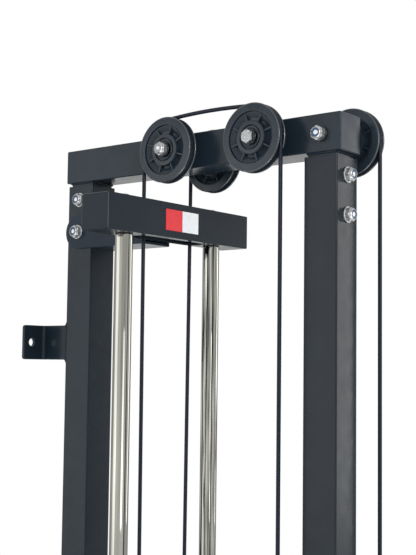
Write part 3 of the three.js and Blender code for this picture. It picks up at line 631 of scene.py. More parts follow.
    def softened(self, width: float, segments: int = 2, limit: float = 30.0) -> "Form":
        """Round the edges that are sharper than a limit.

        Args:
            width: The width of the rounding.
            segments: Facets across it.
            limit: The smallest angle between faces, in degrees.

        Returns:
            This shape, changed.
        """
        least = math.radians(limit)
        inner = [edge for edge in self.bm.edges if len(edge.link_faces) == 2]
        bmesh.ops.bevel(
            self.bm,
            geom=[edge for edge in inner if edge.calc_face_angle() > least],
            offset=width,
            offset_type="OFFSET",
            segments=segments,
            profile=0.5,
            affect="EDGES",
            material=-1,
            clamp_overlap=True,
        )
        return self

    def smoothed(self, limit: float = 34.0) -> "Form":
        """Shade the shape smooth, but for edges sharper than a limit in degrees."""
        for face in self.bm.faces:
            face.smooth = True
        for edge in self.bm.edges:
            edge.smooth = len(edge.link_faces) == 2 and edge.calc_face_angle(0.0) < math.radians(limit)
        return self


def arc_points(x: float, y: float, radius: float, start: float, end: float, steps: int) -> list[Point]:
    """Points on an arc, from one angle to another in degrees."""
    angles = [math.radians(start + (end - start) * index / steps) for index in range(steps + 1)]
    return [(x + radius * math.cos(a), y + radius * math.sin(a)) for a in angles]


def rounded_rectangle(width: float, height: float, corner: float, steps: int = 5) -> list[Point]:
    """The outline of a rectangle with round corners, centred on the origin."""
    x = width / 2 - corner
    y = height / 2 - corner
    return [
        *arc_points(x, y, corner, 0, 90, steps),
        *arc_points(-x, y, corner, 90, 180, steps),
        *arc_points(-x, -y, corner, 180, 270, steps),
        *arc_points(x, -y, corner, 270, 360, steps),
    ]


def flipped(profile: Profile) -> list[Point]:
    """A profile turned over about height 0."""
    return [(radius, -height) for radius, height in profile]


@dataclass(frozen=True)
class Plan:
    """The sizes that several sub-assemblies share, in millimetres."""

    tube: float = 50.0
    wall: float = 3.0
    corner: float = 2.0
    front_x: float = 430.0
    beam_bottom: float = 2050.0
    neck: float = 5.0
    seat: float = 0.3
    guide_x: float = 157.5
    rod_spacing: float = 193.0
    rod_radius: float = 12.5
    head_bottom: float = 1954.5
    head_length: float = 310.0
    guide_foot_bottom: float = 50.3
    stub: float = 43.0
    arm_plate: float = 4.0
    bolt_drops: tuple[float, float] = (27.0, 76.0)
    cable_radius: float = 2.75
    cable_plane: float = 52.0
    axle_drop: float = 1.7
    cable_lead: float = 12.0
    pitch_radius: float = 43.0
    hub_half: float = 8.5
    fall_x: float = 152.9
    low_pulley_x: float = 430.0
    low_pulley_z: float = 330.0
    plate: float = 22.0
    plate_count: int = 8
    stack_bottom: float = 130.9
    traveller_rise: float = 62.0
    travel: float = 750.0
    high_tail: float = 763.0
    low_tail: float = 68.0

    @property
    def half(self) -> float:
        """Half the side of the square tube."""
        return self.tube / 2

    @property
    def axle_z(self) -> float:
        """The height of the beam's pulley axles."""
        return self.beam_bottom + self.half - self.axle_drop

    @property
    def stack_axle_x(self) -> float:
        """The axle of the pulleys above the stack."""
        return self.fall_x + self.pitch_radius

    @property
    def low_lead_x(self) -> float:
        """The axle of the pulley that leads the low cable down."""
        return self.low_pulley_x - 2 * self.pitch_radius

    @property
    def high_tail_x(self) -> float:
        """The high cable's tail, in front of the machine."""
        return self.front_x + self.pitch_radius

    @property
    def lead_bottom(self) -> float:
        """The lower ends of the cable's leads off the beam's pulleys."""
        return self.axle_z - self.cable_lead

    @property
    def rod_bottom(self) -> float:
        """The lower ends of the guide rods."""
        return self.guide_foot_bottom + self.tube + self.seat

    @property
    def rod_top(self) -> float:
        """The upper ends of the guide rods."""
        return self.head_bottom - self.seat

    @property
    def plate_pitch(self) -> float:
        """The height from one plate to the next."""
        return self.plate + self.seat

    @property
    def top_plate_bottom(self) -> float:
        """The underside of the stack's top plate."""
        return self.stack_bottom + self.plate_count * self.plate_pitch

    @property
    def yoke_bottom(self) -> float:
        """The underside of the travelling pulley's yoke."""
        return self.top_plate_bottom + self.plate + self.seat

    @property
    def traveller_z(self) -> float:
        """The height of the travelling pulley's axle at rest."""
        return self.yoke_bottom + self.traveller_rise

    @property
    def high_stop_top(self) -> float:
        """The top of the high cable's stop."""
        return self.lead_bottom - self.seat - self.high_tail - self.seat

    @property
    def low_tail_z(self) -> float:
        """The height of the low cable where it leaves its pulley."""
        return self.low_pulley_z - self.pitch_radius

    @property
    def low_stop_start(self) -> float:
        """The back end of the low cable's stop."""
        return self.low_pulley_x + self.cable_lead + self.seat + self.low_tail + self.seat


@dataclass
class Assembly:
    """A sub-assembly, which finishes its shapes as pieces of the machine."""

    plan: Plan

    def piece(
        self,
        name: str,
        form: Form,
        paint: Paint,
        body: Body | str = Body.FRAME,
        node: str = "",
        slot: Slot | None = None,
    ) -> bpy.types.Object:
        """Finish a shape as a piece that rides on a body.

        Args:
            name: The piece's name.
            form: Its shape, in millimetres.
            paint: Its finish.
            body: The body that carries it.
            node: The CAD node that it stands for, if there is one.
            slot: Passed on to loose, which doesn't use it.

        Returns:
            The piece.
        """
        made = self.loose(name, form, paint, node, slot)
        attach(made, body.value if isinstance(body, Body) else body)
        return made

    def loose(
        self, name: str, form: Form, paint: Paint, node: str = "", slot: Slot | None = None
    ) -> bpy.types.Object:
        """Finish a shape as a piece that isn't yet on a body.

        Args:
            name: The piece's name.
            form: Its shape, in millimetres.
            paint: Its finish.
            node: The CAD node that it stands for, if there is one.
            slot: Not used.

        Returns:
            The piece.
        """
        form.moved(Matrix.Scale(MM, 4)).smoothed()
        mesh = form.mesh(name)
        form.bm.free()
        mesh.materials.append(paint.value.material)
        made = placed(bpy.data.objects.new(name, mesh))
        weighting = made.modifiers.new("flat_faces", "WEIGHTED_NORMAL")
        weighting.keep_sharp = True
        if node:
            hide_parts(node)
        LOG.info("piece %s: %d faces", name, len(mesh.polygons))
        return made


def square_tube(plan: Plan, length: float, recess: float | None = None) -> Form:
    """Square tube along +Z from 0, its corners rounded as rolled.

    Args:
        plan: The shared sizes.
        length: The tube's length.
        recess: How deep its open ends are hollow, or None where plates close them.

    Returns:
        The tube.
    """
    tube = Form.prism(rounded_rectangle(plan.tube, plan.tube, plan.corner), length)
    if recess is None:
        return tube.softened(2.2, 4, SHARP_EDGES)
    inner = plan.half - plan.wall
    low = Form.block((-inner, -inner, -CUTTER_EXCESS), (inner, inner, recess))
    high = Form.block((-inner, -inner, length - recess), (inner, inner, length + CUTTER_EXCESS))
    return tube.cut(low, high).softened(0.7, 2, SHARP_EDGES)


def weld_bead(path: Sequence[Point], size: float, ripple: float = 1.9, swell: float = 0.1) -> Form:
    """A rippled weld bead along a path.

    Args:
        path: The corners of its centre line.
        size: The bead's radius.
        ripple: The length of one ripple.
        swell: How much of the radius the ripples take off.

    Returns:
        The bead.
    """
    samples = 3
    points = []
    for start, end in zip(path, path[1:]):
        a, b = Vector(start), Vector(end)
        steps = max(2, int((b - a).length / ripple * samples))
        points += [a.lerp(b, index / steps) for index in range(steps)]
    points.append(Vector(path[-1]))
    bead = Form.swept(points, size, 10)
    for vert in bead.bm.verts:
        nearest = min(range(len(points)), key=lambda index: (points[index] - vert.co).length_squared)
        factor = 1.0 - swell * ((nearest % samples) / (samples - 1))
        vert.co = points[nearest] + (vert.co - points[nearest]) * factor
    return bead


@dataclass
class Framework(Assembly):
    """Uprights, top beam, feet and base rail."""

    foot_length: float = 520.0
    beam_overhang: float = 5.0
    stub_height: float = 100.0
    upright_recess: float = 120.0
    rail_recess: float = 40.0
    foot_recess: float = 14.0
    weld_gap: float = 0.6
    stub_weld: float = 1.8
    rail_weld: float = 2.0
    rail_weld_start: float = 3.0
    cap_thickness: float = 3.0
    cap_corner: float = 4.0
    cap_margin: float = 0.6
    cap_gap: float = 0.2
    plug_half: float = 6.0
    plug_shift: float = 5.8
    plug_gap: float = 0.3

    def build(self) -> None:
        """Make every tube of the frame."""
        self.upright("rear_upright", 0.0, Paint.FRAME)
        # The front upright's shade of the paint is warmer: painted light.
        self.upright("front_upright", self.plan.front_x, Paint.FRONT)
        self.beam()
        self.foot("rear_foot", 0.0)
        self.foot("front_foot", self.plan.front_x)
        self.rail()

    def upright(self, name: str, x: float, paint: Paint) -> None:
        """An upright over its foot's stub.

        Args:
            name: The CAD node that it stands for.
            x: Its centre line.
            paint: Its shade of the frame's paint; the front upright's shade is a warmer copy of it, painted
                light for how the light falls on that upright.
        """
        bottom = self.plan.tube + self.plan.neck
        length = self.plan.beam_bottom - self.plan.neck - bottom
        tube = square_tube(self.plan, length, self.upright_recess).at(x, 0.0, bottom)
        self.piece(f"{name}_tube", tube, paint, node=name)

    def stub(self) -> Form:
        """The stub that enters an upright, along +Z from 0, with its weld round the foot."""
        half = self.plan.stub / 2
        post = Form.block((-half, -half, 0.0), (half, half, self.stub_height)).softened(1.5, 3)
        signs = ((-1, -1), (1, -1), (1, 1), (-1, 1), (-1, -1))
        path = [(x * half, y * half, self.weld_gap) for x, y in signs]
        return post.joined(weld_bead(path, self.stub_weld))

    def beam(self) -> None:
        """The top beam with closed ends and both stubs."""
        length = self.plan.front_x + self.plan.tube + 2 * self.beam_overhang
        start = -self.plan.half - self.beam_overhang
        beam = square_tube(self.plan, length).along(Axis.X)
        beam.at(start, 0.0, self.plan.beam_bottom + self.plan.half)
        for x in (0.0, self.plan.front_x):
            beam.joined(self.stub().along(Axis.MINUS_Z).at(x, 0.0, self.plan.beam_bottom))
        # The beam's shade of the paint is lighter: painted light for the shade between its pulleys.
        self.piece("top_beam_tube", beam, Paint.BEAM, node="top_beam")

    def foot(self, name: str, x: float) -> None:
        """A cross foot with its stub and end caps.

        Args:
            name: The CAD node that it stands for.
            x: The place of its centre line.
        """
        half = self.foot_length / 2
        tube = square_tube(self.plan, self.foot_length, self.foot_recess).along(Axis.Y)
        tube.at(x, -half, self.plan.half).joined(self.stub().at(x, 0.0, self.plan.tube))
        self.piece(f"{name}_tube", tube, Paint.FRAME, node=name)
        width = self.plan.tube - self.cap_margin
        plug = self.plan.half - self.plan.wall - self.plug_gap
        for side in Side:
            cap = Form.prism(rounded_rectangle(width, width, self.cap_corner), self.cap_thickness)
            cap.softened(1.2, 3, SHARP_EDGES).along(Axis.Y)
            start = half + self.cap_gap if side is Side.FAR else -half - self.cap_gap - self.cap_thickness
            inner = Form.block((-plug, -self.plug_half, -plug), (plug, self.plug_half, plug))
            inner.at(0.0, -self.plug_shift * side.value, 0.0).at(0.0, half * side.value - start, 0.0)
            cap.joined(inner).at(x, start, self.plan.half)
            self.piece(f"{name}_{side.word}_cap", cap, Paint.CAP)

    def rail(self) -> None:
        """The base rail with the weld beads at its ends."""
        start = self.plan.half + self.plan.seat
        end = self.plan.front_x - start
        reach = self.plan.half
        low, high = self.rail_weld_start, self.plan.tube
        rail = square_tube(self.plan, end - start, self.rail_recess).along(Axis.X).at(start, 0.0, reach)
        for x in (start + self.weld_gap, end - self.weld_gap):
            path = [(x, -reach, low), (x, -reach, high), (x, reach, high), (x, reach, low)]
            rail.joined(weld_bead(path, self.rail_weld))
        self.piece("base_rail_tube", rail, Paint.FRAME, node="base_rail")


@dataclass
class GuideFrame(Assembly):
    """Guide head on its arm, guide foot and the two chromed rods."""

    slot_width: float = 34.0
    slot_length: float = 145.0
    slot_excess: float = 4.0
    edge_inset: float = 1.56
    edge_radius: float = 1.4
    foot_weld: float = 1.9
    foot_weld_z: float = 50.6
    weld_end: float = 2.0
    arm_z: float = 1974.0
    arm_floor_gap: float = 0.05
    arm_weld: float = 1.8
    arm_weld_inset: float = 0.5
    screw_gap: float = 0.1
    screw_radius: float = 8.7
    screw_height: float = 5.2
    socket_radius: float = 3.4
    socket_depth: float = 3.0
    rod_chamfer: float = 1.0
    badge_low: tuple[float, float] = (-38.0, 10.0)
    badge_high: tuple[float, float] = (34.0, 40.0)
    badge_depths: tuple[float, float] = (0.02, 0.5)

    def build(self) -> None:
        """Make the guide bars, arm, rods and badge."""
        self.head()
        self.painted_highlights()
        self.foot()
        self.arm()
        for side in Side:
            self.rod(side)
        self.badge()

    def bar(self) -> Form:
        """The plain cross tube, its near end at 0, along +Y."""
        return square_tube(self.plan, self.plan.head_length).along(Axis.Y)

    def head(self) -> None:
        """The guide head, hollow, with the slot that the cable falls through."""
        plan = self.plan
        inner = plan.half - plan.wall
        length = plan.head_length
        hollow = Form.block((-inner, plan.wall, -inner), (inner, length - plan.wall, inner))
        outline = rounded_rectangle(self.slot_width, self.slot_length, self.slot_width / 2 - 0.01, 12)
        slot = Form.prism(outline, plan.tube + 2 * self.slot_excess)
        slot.at(plan.fall_x - plan.guide_x, length / 2, -plan.half - self.slot_excess)
        head = self.bar().cut(hollow, slot).at(plan.guide_x, -length / 2, plan.head_bottom + plan.half)
        # The guide head's shade of the paint is lighter: painted light.
        self.piece("guide_head_tube", head, Paint.HEAD, node="guide_head")
        self.screws("rod_top_screw", Axis.Z, plan.head_bottom + plan.tube + self.screw_gap)

    def painted_highlights(self) -> None:
        """Pale lines along the edges of the guide head's near end: a painted highlight where its rounded
        corners catch the light.
        """
        reach = self.plan.half - self.edge_inset
        bottom = self.plan.head_bottom + self.plan.corner
        height = self.plan.tube - 2 * self.plan.corner
        end = self.edge_inset - self.plan.head_length / 2
        top = Form.rod(self.edge_radius, -height / 2, height / 2).along(Axis.X)
        lines = top.at(self.plan.guide_x, end, self.plan.head_bottom + self.plan.half + reach)
        for x in (-reach, reach):
            lines.joined(Form.rod(self.edge_radius, 0.0, height).at(self.plan.guide_x + x, end, bottom))
        # These strips are a painted highlight on the head's edges.
        self.piece("guide_head_painted_highlights", lines, Paint.HEAD_EDGE_HIGHLIGHT)

    def foot(self) -> None:
        """The guide foot across the base rail, with the rods' lower screws."""
        plan = self.plan
        foot = self.bar().at(plan.guide_x, -plan.head_length / 2, plan.guide_foot_bottom + plan.half)
        end = plan.half - self.weld_end
        for x in (plan.guide_x - plan.half, plan.guide_x + plan.half):
            line = [(x, -end, self.foot_weld_z), (x, end, self.foot_weld_z)]
            foot.joined(weld_bead(line, self.foot_weld))
        self.piece("guide_foot_tube", foot, Paint.FRAME, node="guide_foot")
        self.screws("rod_foot_screw", Axis.MINUS_Z, plan.guide_foot_bottom - self.screw_gap)

    def screws(self, name: str, axis: Axis, z: float) -> None:
        """The two rods' end screws: low domed heads with hexagon sockets.

        Args:
            name: The screws' name, after their side's.
            axis: The way that they stand up.
            z: The height of their seats.
        """
        radius = self.screw_radius
        height = self.screw_height
        dome = [(0.0, 0.0), (radius, 0.0), (radius, 1.2), (radius * 0.93, 2.4), (radius * 0.78, 3.7)]
        dome += [(radius * 0.56, height - 0.4), (radius * 0.42, height), (0.0, height)]
        for side in Side:
            socket = Form.rod(self.socket_radius, height - self.socket_depth, height + CUTTER_EXCESS, 6)
            screw = Form.turned(dome, 48).cut(socket).along(axis)
            screw.at(self.plan.guide_x, side.value * self.plan.rod_spacing / 2, z)
            self.piece(f"{side.word}_{name}", screw, Paint.ZINC)

    def arm(self) -> None:
        """The channel arm with round ears on the rear upright."""
        half, plate = self.plan.half, self.plan.arm_plate
        inner = half + self.plan.seat
        reach = self.plan.guide_x - half - self.plan.seat
        outline = [(reach, half), *arc_points(0.0, 0.0, half, 90, 270, 24), (reach, -half)]
        arm = Form()
        for side in Side:
            ear = Form.prism(outline, plate).softened(0.5, 2).along(Axis.MINUS_Y)
            arm.joined(ear.at(0.0, inner + plate if side is Side.FAR else -inner, 0.0))
        middle = inner + plate * 0.6
        low, high = self.arm_floor_gap - half, plate - half
        arm.joined(Form.block((inner, -middle, low), (reach, middle, high)).softened(0.4))
        x = reach - self.arm_weld_inset
        end = half - self.weld_end
        for side in Side:
            y = side.value * (inner + plate / 2)
            arm.joined(weld_bead([(x, y, -end), (x, y, end)], self.arm_weld))
        # The arm's shade of the paint is lighter: painted light.
        self.piece("head_arm_channel", arm.at(0.0, 0.0, self.arm_z), Paint.ARM, node="head_arm")

    def rod(self, side: Side) -> None:
        """A guide rod with chamfered ends."""
        radius, chamfer = self.plan.rod_radius, self.rod_chamfer
        low, high = self.plan.rod_bottom, self.plan.rod_top
        lower = [(0.0, low), (radius - chamfer, low), (radius, low + chamfer)]
        upper = [(radius, high - chamfer), (radius - chamfer, high), (0.0, high)]
        rod = Form.turned([*lower, *upper], 96)
        rod.at(self.plan.guide_x, side.value * self.plan.rod_spacing / 2, 0.0)
        node = f"{side.word}_guide_rod"
        # The far rod's chrome carries stronger painted reflection streaks.
        chrome = Paint.CHROME if side is Side.NEAR else Paint.REFLECTION_STREAKED_CHROME
        self.piece(f"{node}_bar", rod, chrome, node=node)

    def badge(self) -> None:
        """A plain two-tone badge on the guide head's front face."""
        back, front = (self.plan.guide_x + self.plan.half + depth for depth in self.badge_depths)
        low_y, low_z = self.badge_low
        high_y, high_z = self.badge_high
        split = (low_y + high_y) / 2
        base = self.plan.head_bottom
        fields = (("red", low_y, split, Paint.RED), ("silver", split, high_y, Paint.SILVER))
        for name, start, end, paint in fields:
            plate = Form.block((back, start, base + low_z), (front, end, base + high_z)).softened(0.15, 2)
            self.piece(f"badge_{name}_field", plate, paint)


@dataclass
class WallBrackets(Assembly):
    """The two wall brackets on the rear upright."""

    plate: float = 5.0
    height: float = 52.0
    reach: float = 52.5
    flange: float = 40.0
    flange_corner: float = 4.0
    centre_z: float = 1807.5
    hole_radius: float = 6.0
    hole_inset: float = 24.5
    hole_reach: float = 10.0
    trim_excess: float = 5.0
    bend_radius: float = 9.5
    weld: float = 4.6
    weld_inset: float = 0.3
    weld_sink: float = 0.4
    bead: float = 1.3
    bead_end: float = 1.0
    bead_rise: float = 0.1

    def build(self) -> None:
        """Make both brackets."""
        for side in Side:
            self.bracket(side)

    def bracket(self, side: Side) -> None:
        """A bent plate with a hole in its flange, welded to the upright.

        Args:
            side: The side of the machine.
        """
        edge = self.plan.half
        wall = -edge - self.reach
        outer = self.bend_radius
        inner = outer - self.plate
        outline = [(-edge - self.plan.seat, edge), (wall + self.plate + inner, edge)]
        outline += arc_points(wall + self.plate + inner, edge + inner, inner, 270, 180, 6)
        outline += [(wall + self.plate, edge + self.flange), (wall, edge + self.flange)]
        outline += arc_points(wall + outer, edge - self.plate + outer, outer, 180, 270, 8)
        outline += [(-edge - self.plan.seat, edge - self.plate)]
        shape = rounded_rectangle(2 * (edge + self.flange), self.height, self.flange_corner, 6)
        trim = Form.prism(shape, self.reach + 2 * self.trim_excess).along(Axis.MINUS_X)
        trim.along(Axis.MINUS_Y).at(self.trim_excess - edge, 0.0, self.height / 2)
        bracket = Form.prism(outline, self.height).common(trim).softened(0.7, 2, 50.0)
        hole = Form.rod(self.hole_radius, -self.hole_reach, self.hole_reach, 48).along(Axis.X)
        bracket.cut(hole.at(wall + self.plate / 2, edge + self.hole_inset, self.height / 2))
        bracket.joined(*self.welds())
        if side is Side.NEAR:
            bracket.moved(Matrix.Scale(-1.0, 4, (0.0, 1.0, 0.0)))
            bmesh.ops.reverse_faces(bracket.bm, faces=bracket.bm.faces[:])
        bracket.at(0.0, 0.0, self.centre_z - self.height / 2)
        node = f"{side.word}_wall_bracket"
        self.piece(f"{node}_plate", bracket, Paint.FRAME, node=node)

    def welds(self) -> list[Form]:
        """The concave welds above and below the web, and the beads along its two faces."""
        edge = self.plan.half
        size = self.weld
        start = -edge - self.plan.seat / 2
        hollow = arc_points(start - size, size, size, 0, -90, 8)[1:-1]
        section = [(start, 0.0), (start, size), *hollow, (start - size, 0.0)]
        inset = self.weld_inset
        upper = Form.prism(section, self.plate - 2 * inset).along(Axis.MINUS_Y)
        upper.at(0.0, edge - inset, self.height - self.weld_sink)
        lower = upper.copy().moved(Matrix.Scale(-1.0, 4, (0.0, 0.0, 1.0))).at(0.0, 0.0, self.height).closed()
        beads = []
        for y in (edge + self.bead_rise, edge - self.plate - self.bead_rise):
            ends = (self.bead_end, self.height - self.bead_end)
            beads.append(weld_bead([(start - inset, y, z) for z in ends], self.bead))
        return [upper, lower, *beads]


@dataclass
class Fasteners(Assembly):
    """Hexagon bolts with washers and locking nuts."""

    radius: float = 5.0
    play: float = 0.3
    across_flats: float = 17.0
    flat_inset: float = 0.35
    rim_excess: float = 0.5
    chamfer_angle: float = 30.0
    head: float = 6.4
    nut: float = 8.0
    thin_nut: float = 5.9
    collar_radius: float = 7.7
    collar: float = 2.8
    collar_root: float = 0.9
    insert_radius: float = 6.0
    thread_end: float = 3.3
    washer_radius: float = 10.5
    washer: float = 2.0
    front_sinks: tuple[float, float] = (1.8, 4.4)
    shapes: dict[str, Form] = field(default_factory=dict)

    def build(self) -> None:
        """Make the bolts of the frame's joints and the pulleys' axles."""
        plan = self.plan
        face = plan.half + plan.seat
        arm_face = face + plan.arm_plate + plan.seat
        upper, lower = (plan.beam_bottom - drop for drop in plan.bolt_drops)
        front = plan.front_x
        self.joint("rear_upper", (0, face, upper), (0, -face, upper))
        self.joint("rear_lower", (0, arm_face, lower), (0, -arm_face, lower))
        upper_sink, lower_sink = self.front_sinks
        for name, z in (("front_upper", upper - upper_sink), ("front_lower", lower - lower_sink)):
            self.joint(name, (front - face, 0, z), (front + face, 0, z))
        for index, drop in enumerate(plan.bolt_drops, 1):
            z = plan.tube + drop
            self.between(f"rear_foot_bolt_{index}", (0, face, z), (0, -face, z))
            self.between(f"front_foot_bolt_{index}", (front - face, 0, z), (front + face, 0, z))
        hub = plan.cable_plane + plan.hub_half + plan.seat
        self.axle("stack_pulley_axle", plan.stack_axle_x, plan.axle_z, hub, -hub, insert=Paint.PALE_INSERT)
        # This axle's bolt and nut are in the darker zinc: painted shade.
        self.axle("low_lead_pulley_axle", plan.low_lead_x, plan.axle_z, -hub, face, steel=Paint.DULL_SHADED_ZINC)
        self.axle("high_lead_pulley_axle", plan.front_x, plan.axle_z, hub, -face)
        self.axle("low_pulley_axle", plan.low_pulley_x, plan.low_pulley_z, face, -hub)

    def joint(self, name: str, start: Point, end: Point) -> None:
        """Finish one of the four bolts that the record names."""
        self.between(f"{name}_bolt", start, end, node=f"{name}_joint_bolt")

    def axle(self, node: str, x: float, z: float, start: float, end: float, **finish: Paint) -> None:
        """A pulley axle along Y, its grip from one place to another."""
        self.between(f"{node}_bolt", (x, start, z), (x, end, z), node=node, axle=True, **finish)

    def between(
        self,
        name: str,
        start: Point,
        end: Point,
        body: Body = Body.FRAME,
        node: str = "",
        axle: bool = False,
        steel: Paint = Paint.ZINC,
        insert: Paint = Paint.INSERT,
    ) -> None:
        """Finish a bolt set whose grip runs between two places.

        Args:
            name: The bolt's name.
            start: The face under the head's washer.
            end: The face under the nut's washer.
            body: The body that carries it.
            node: The CAD node that it stands for, if there is one.
            axle: Whether it is a pulley's axle, with a thick nut and near-black washers that are painted
                shade in the hub.
            steel: The finish of its bolt and nut.
            insert: The finish of the nylon in its nut.
        """
        span = Vector(end) - Vector(start)
        turn = Vector((0.0, 0.0, 1.0)).rotation_difference(span.normalized()).to_matrix().to_4x4()
        # An axle's washers are near-black: painted shade.
        paints = (steel, Paint.SHADE_DARK_ZINC if axle else Paint.ZINC, insert)
        for part, form, paint in zip(("steel", "washers", "insert"), self.bolt(span.length, axle), paints):
            form.moved(Matrix.Translation(start) @ turn)
            self.piece(f"{name}_{part}", form, paint, body, node if part == "steel" else "")

    def bolt(self, grip: float, thick: bool) -> tuple[Form, Form, Form]:
        """A bolt set along +Z whose grip starts at 0.

        Args:
            grip: The length between the two washers.
            thick: Whether its nut is the thick one of the pulleys' axles.

        Returns:
            The bolt with its nut, the two washers, and the nut's nylon insert.
        """
        if not self.shapes:
            self.shapes["head"] = self.hexagon(self.head, False)
            self.shapes["thick"] = self.hexagon(self.nut, True)
            self.shapes["thin"] = self.hexagon(self.thin_nut, True)
        nut_bottom = grip + self.washer
        nut_top = nut_bottom + (self.nut if thick else self.thin_nut)
        top = nut_top + self.collar
        bore, edge, height = self.radius + self.play, self.washer_radius, self.washer
        ring = [(bore, 0.0), (edge - 0.3, 0.0), (edge, 0.3), (edge, height - 0.4), (edge - 0.5, height)]
        washer = Form.turned([*ring, (bore, height), (bore, 0.0)], 48)
        washers = washer.copy().at(0.0, 0.0, grip).joined(washer.at(0.0, 0.0, -height))
        head = self.shapes["head"].copy().along(Axis.MINUS_Z).at(0.0, 0.0, -self.washer)
        nut = self.shapes["thick" if thick else "thin"].copy().at(0.0, 0.0, nut_bottom)
        shank = [(0.0, -self.washer), (self.radius, -self.washer), (self.radius, top - 2.6)]
        shank += [(self.thread_end, top - 1.1), (self.thread_end - 0.4, top - 0.8), (0.0, top - 0.8)]
        collar = self.collar_profile(nut_top - self.collar_root, top)
        steel = head.joined(nut, Form.turned(collar, 48), Form.turned(shank, 40))
        bore = self.thread_end + 0.25
        seat = self.insert_radius - 0.05
        insert = [(bore, top - 1.9), (seat, top - 1.9), (seat, top - 0.9), (seat - 0.4, top - 0.6)]
        insert += [(bore + 0.4, top - 0.6), (bore, top - 0.9), (bore, top - 1.9)]
        return steel, washers, Form.turned(insert, 40)

    def collar_profile(self, low: float, top: float) -> list[Point]:
        """The profile of a nut's rolled collar.

        Args:
            low: The height of its root, inside the nut.
            top: The height of its top.

        Returns:
            Points of radius and height.
        """
        radius = self.collar_radius
        inner = self.insert_radius
        rise = top - low
        outside = [(inner, low), (radius + 0.6, low), (radius + 0.2, low + 0.45 * rise)]
        outside += [(radius - 0.3, low + 0.75 * rise), (radius - 1.0, top - 0.12), (radius - 1.4, top)]
        return [*outside, (inner + 0.15, top - 0.1), (inner, top - 0.5), (inner, low)]

    def hexagon(self, height: float, both_ends: bool) -> Form:
        """A hexagon prism with turned chamfers, from 0 up.

        Args:
            height: Its height.
            both_ends: Whether its lower end is chamfered too.

        Returns:
            The hexagon.
        """
        corner = self.across_flats / math.sqrt(3)
        flat = self.across_flats / 2 - self.flat_inset
        rim = corner + self.rim_excess
        drop = (rim - flat) * math.tan(math.radians(self.chamfer_angle))
        profile = [(0.0, height), (flat, height), (rim, height - drop)]
        profile += [(rim, drop), (flat, 0.0)] if both_ends else [(rim, 0.0)]
        turned = Form.turned([*profile, (0.0, 0.0)], 48)
        return Form.rod(corner, 0.0, height, 6).common(turned).softened(0.35, 2, 40.0)


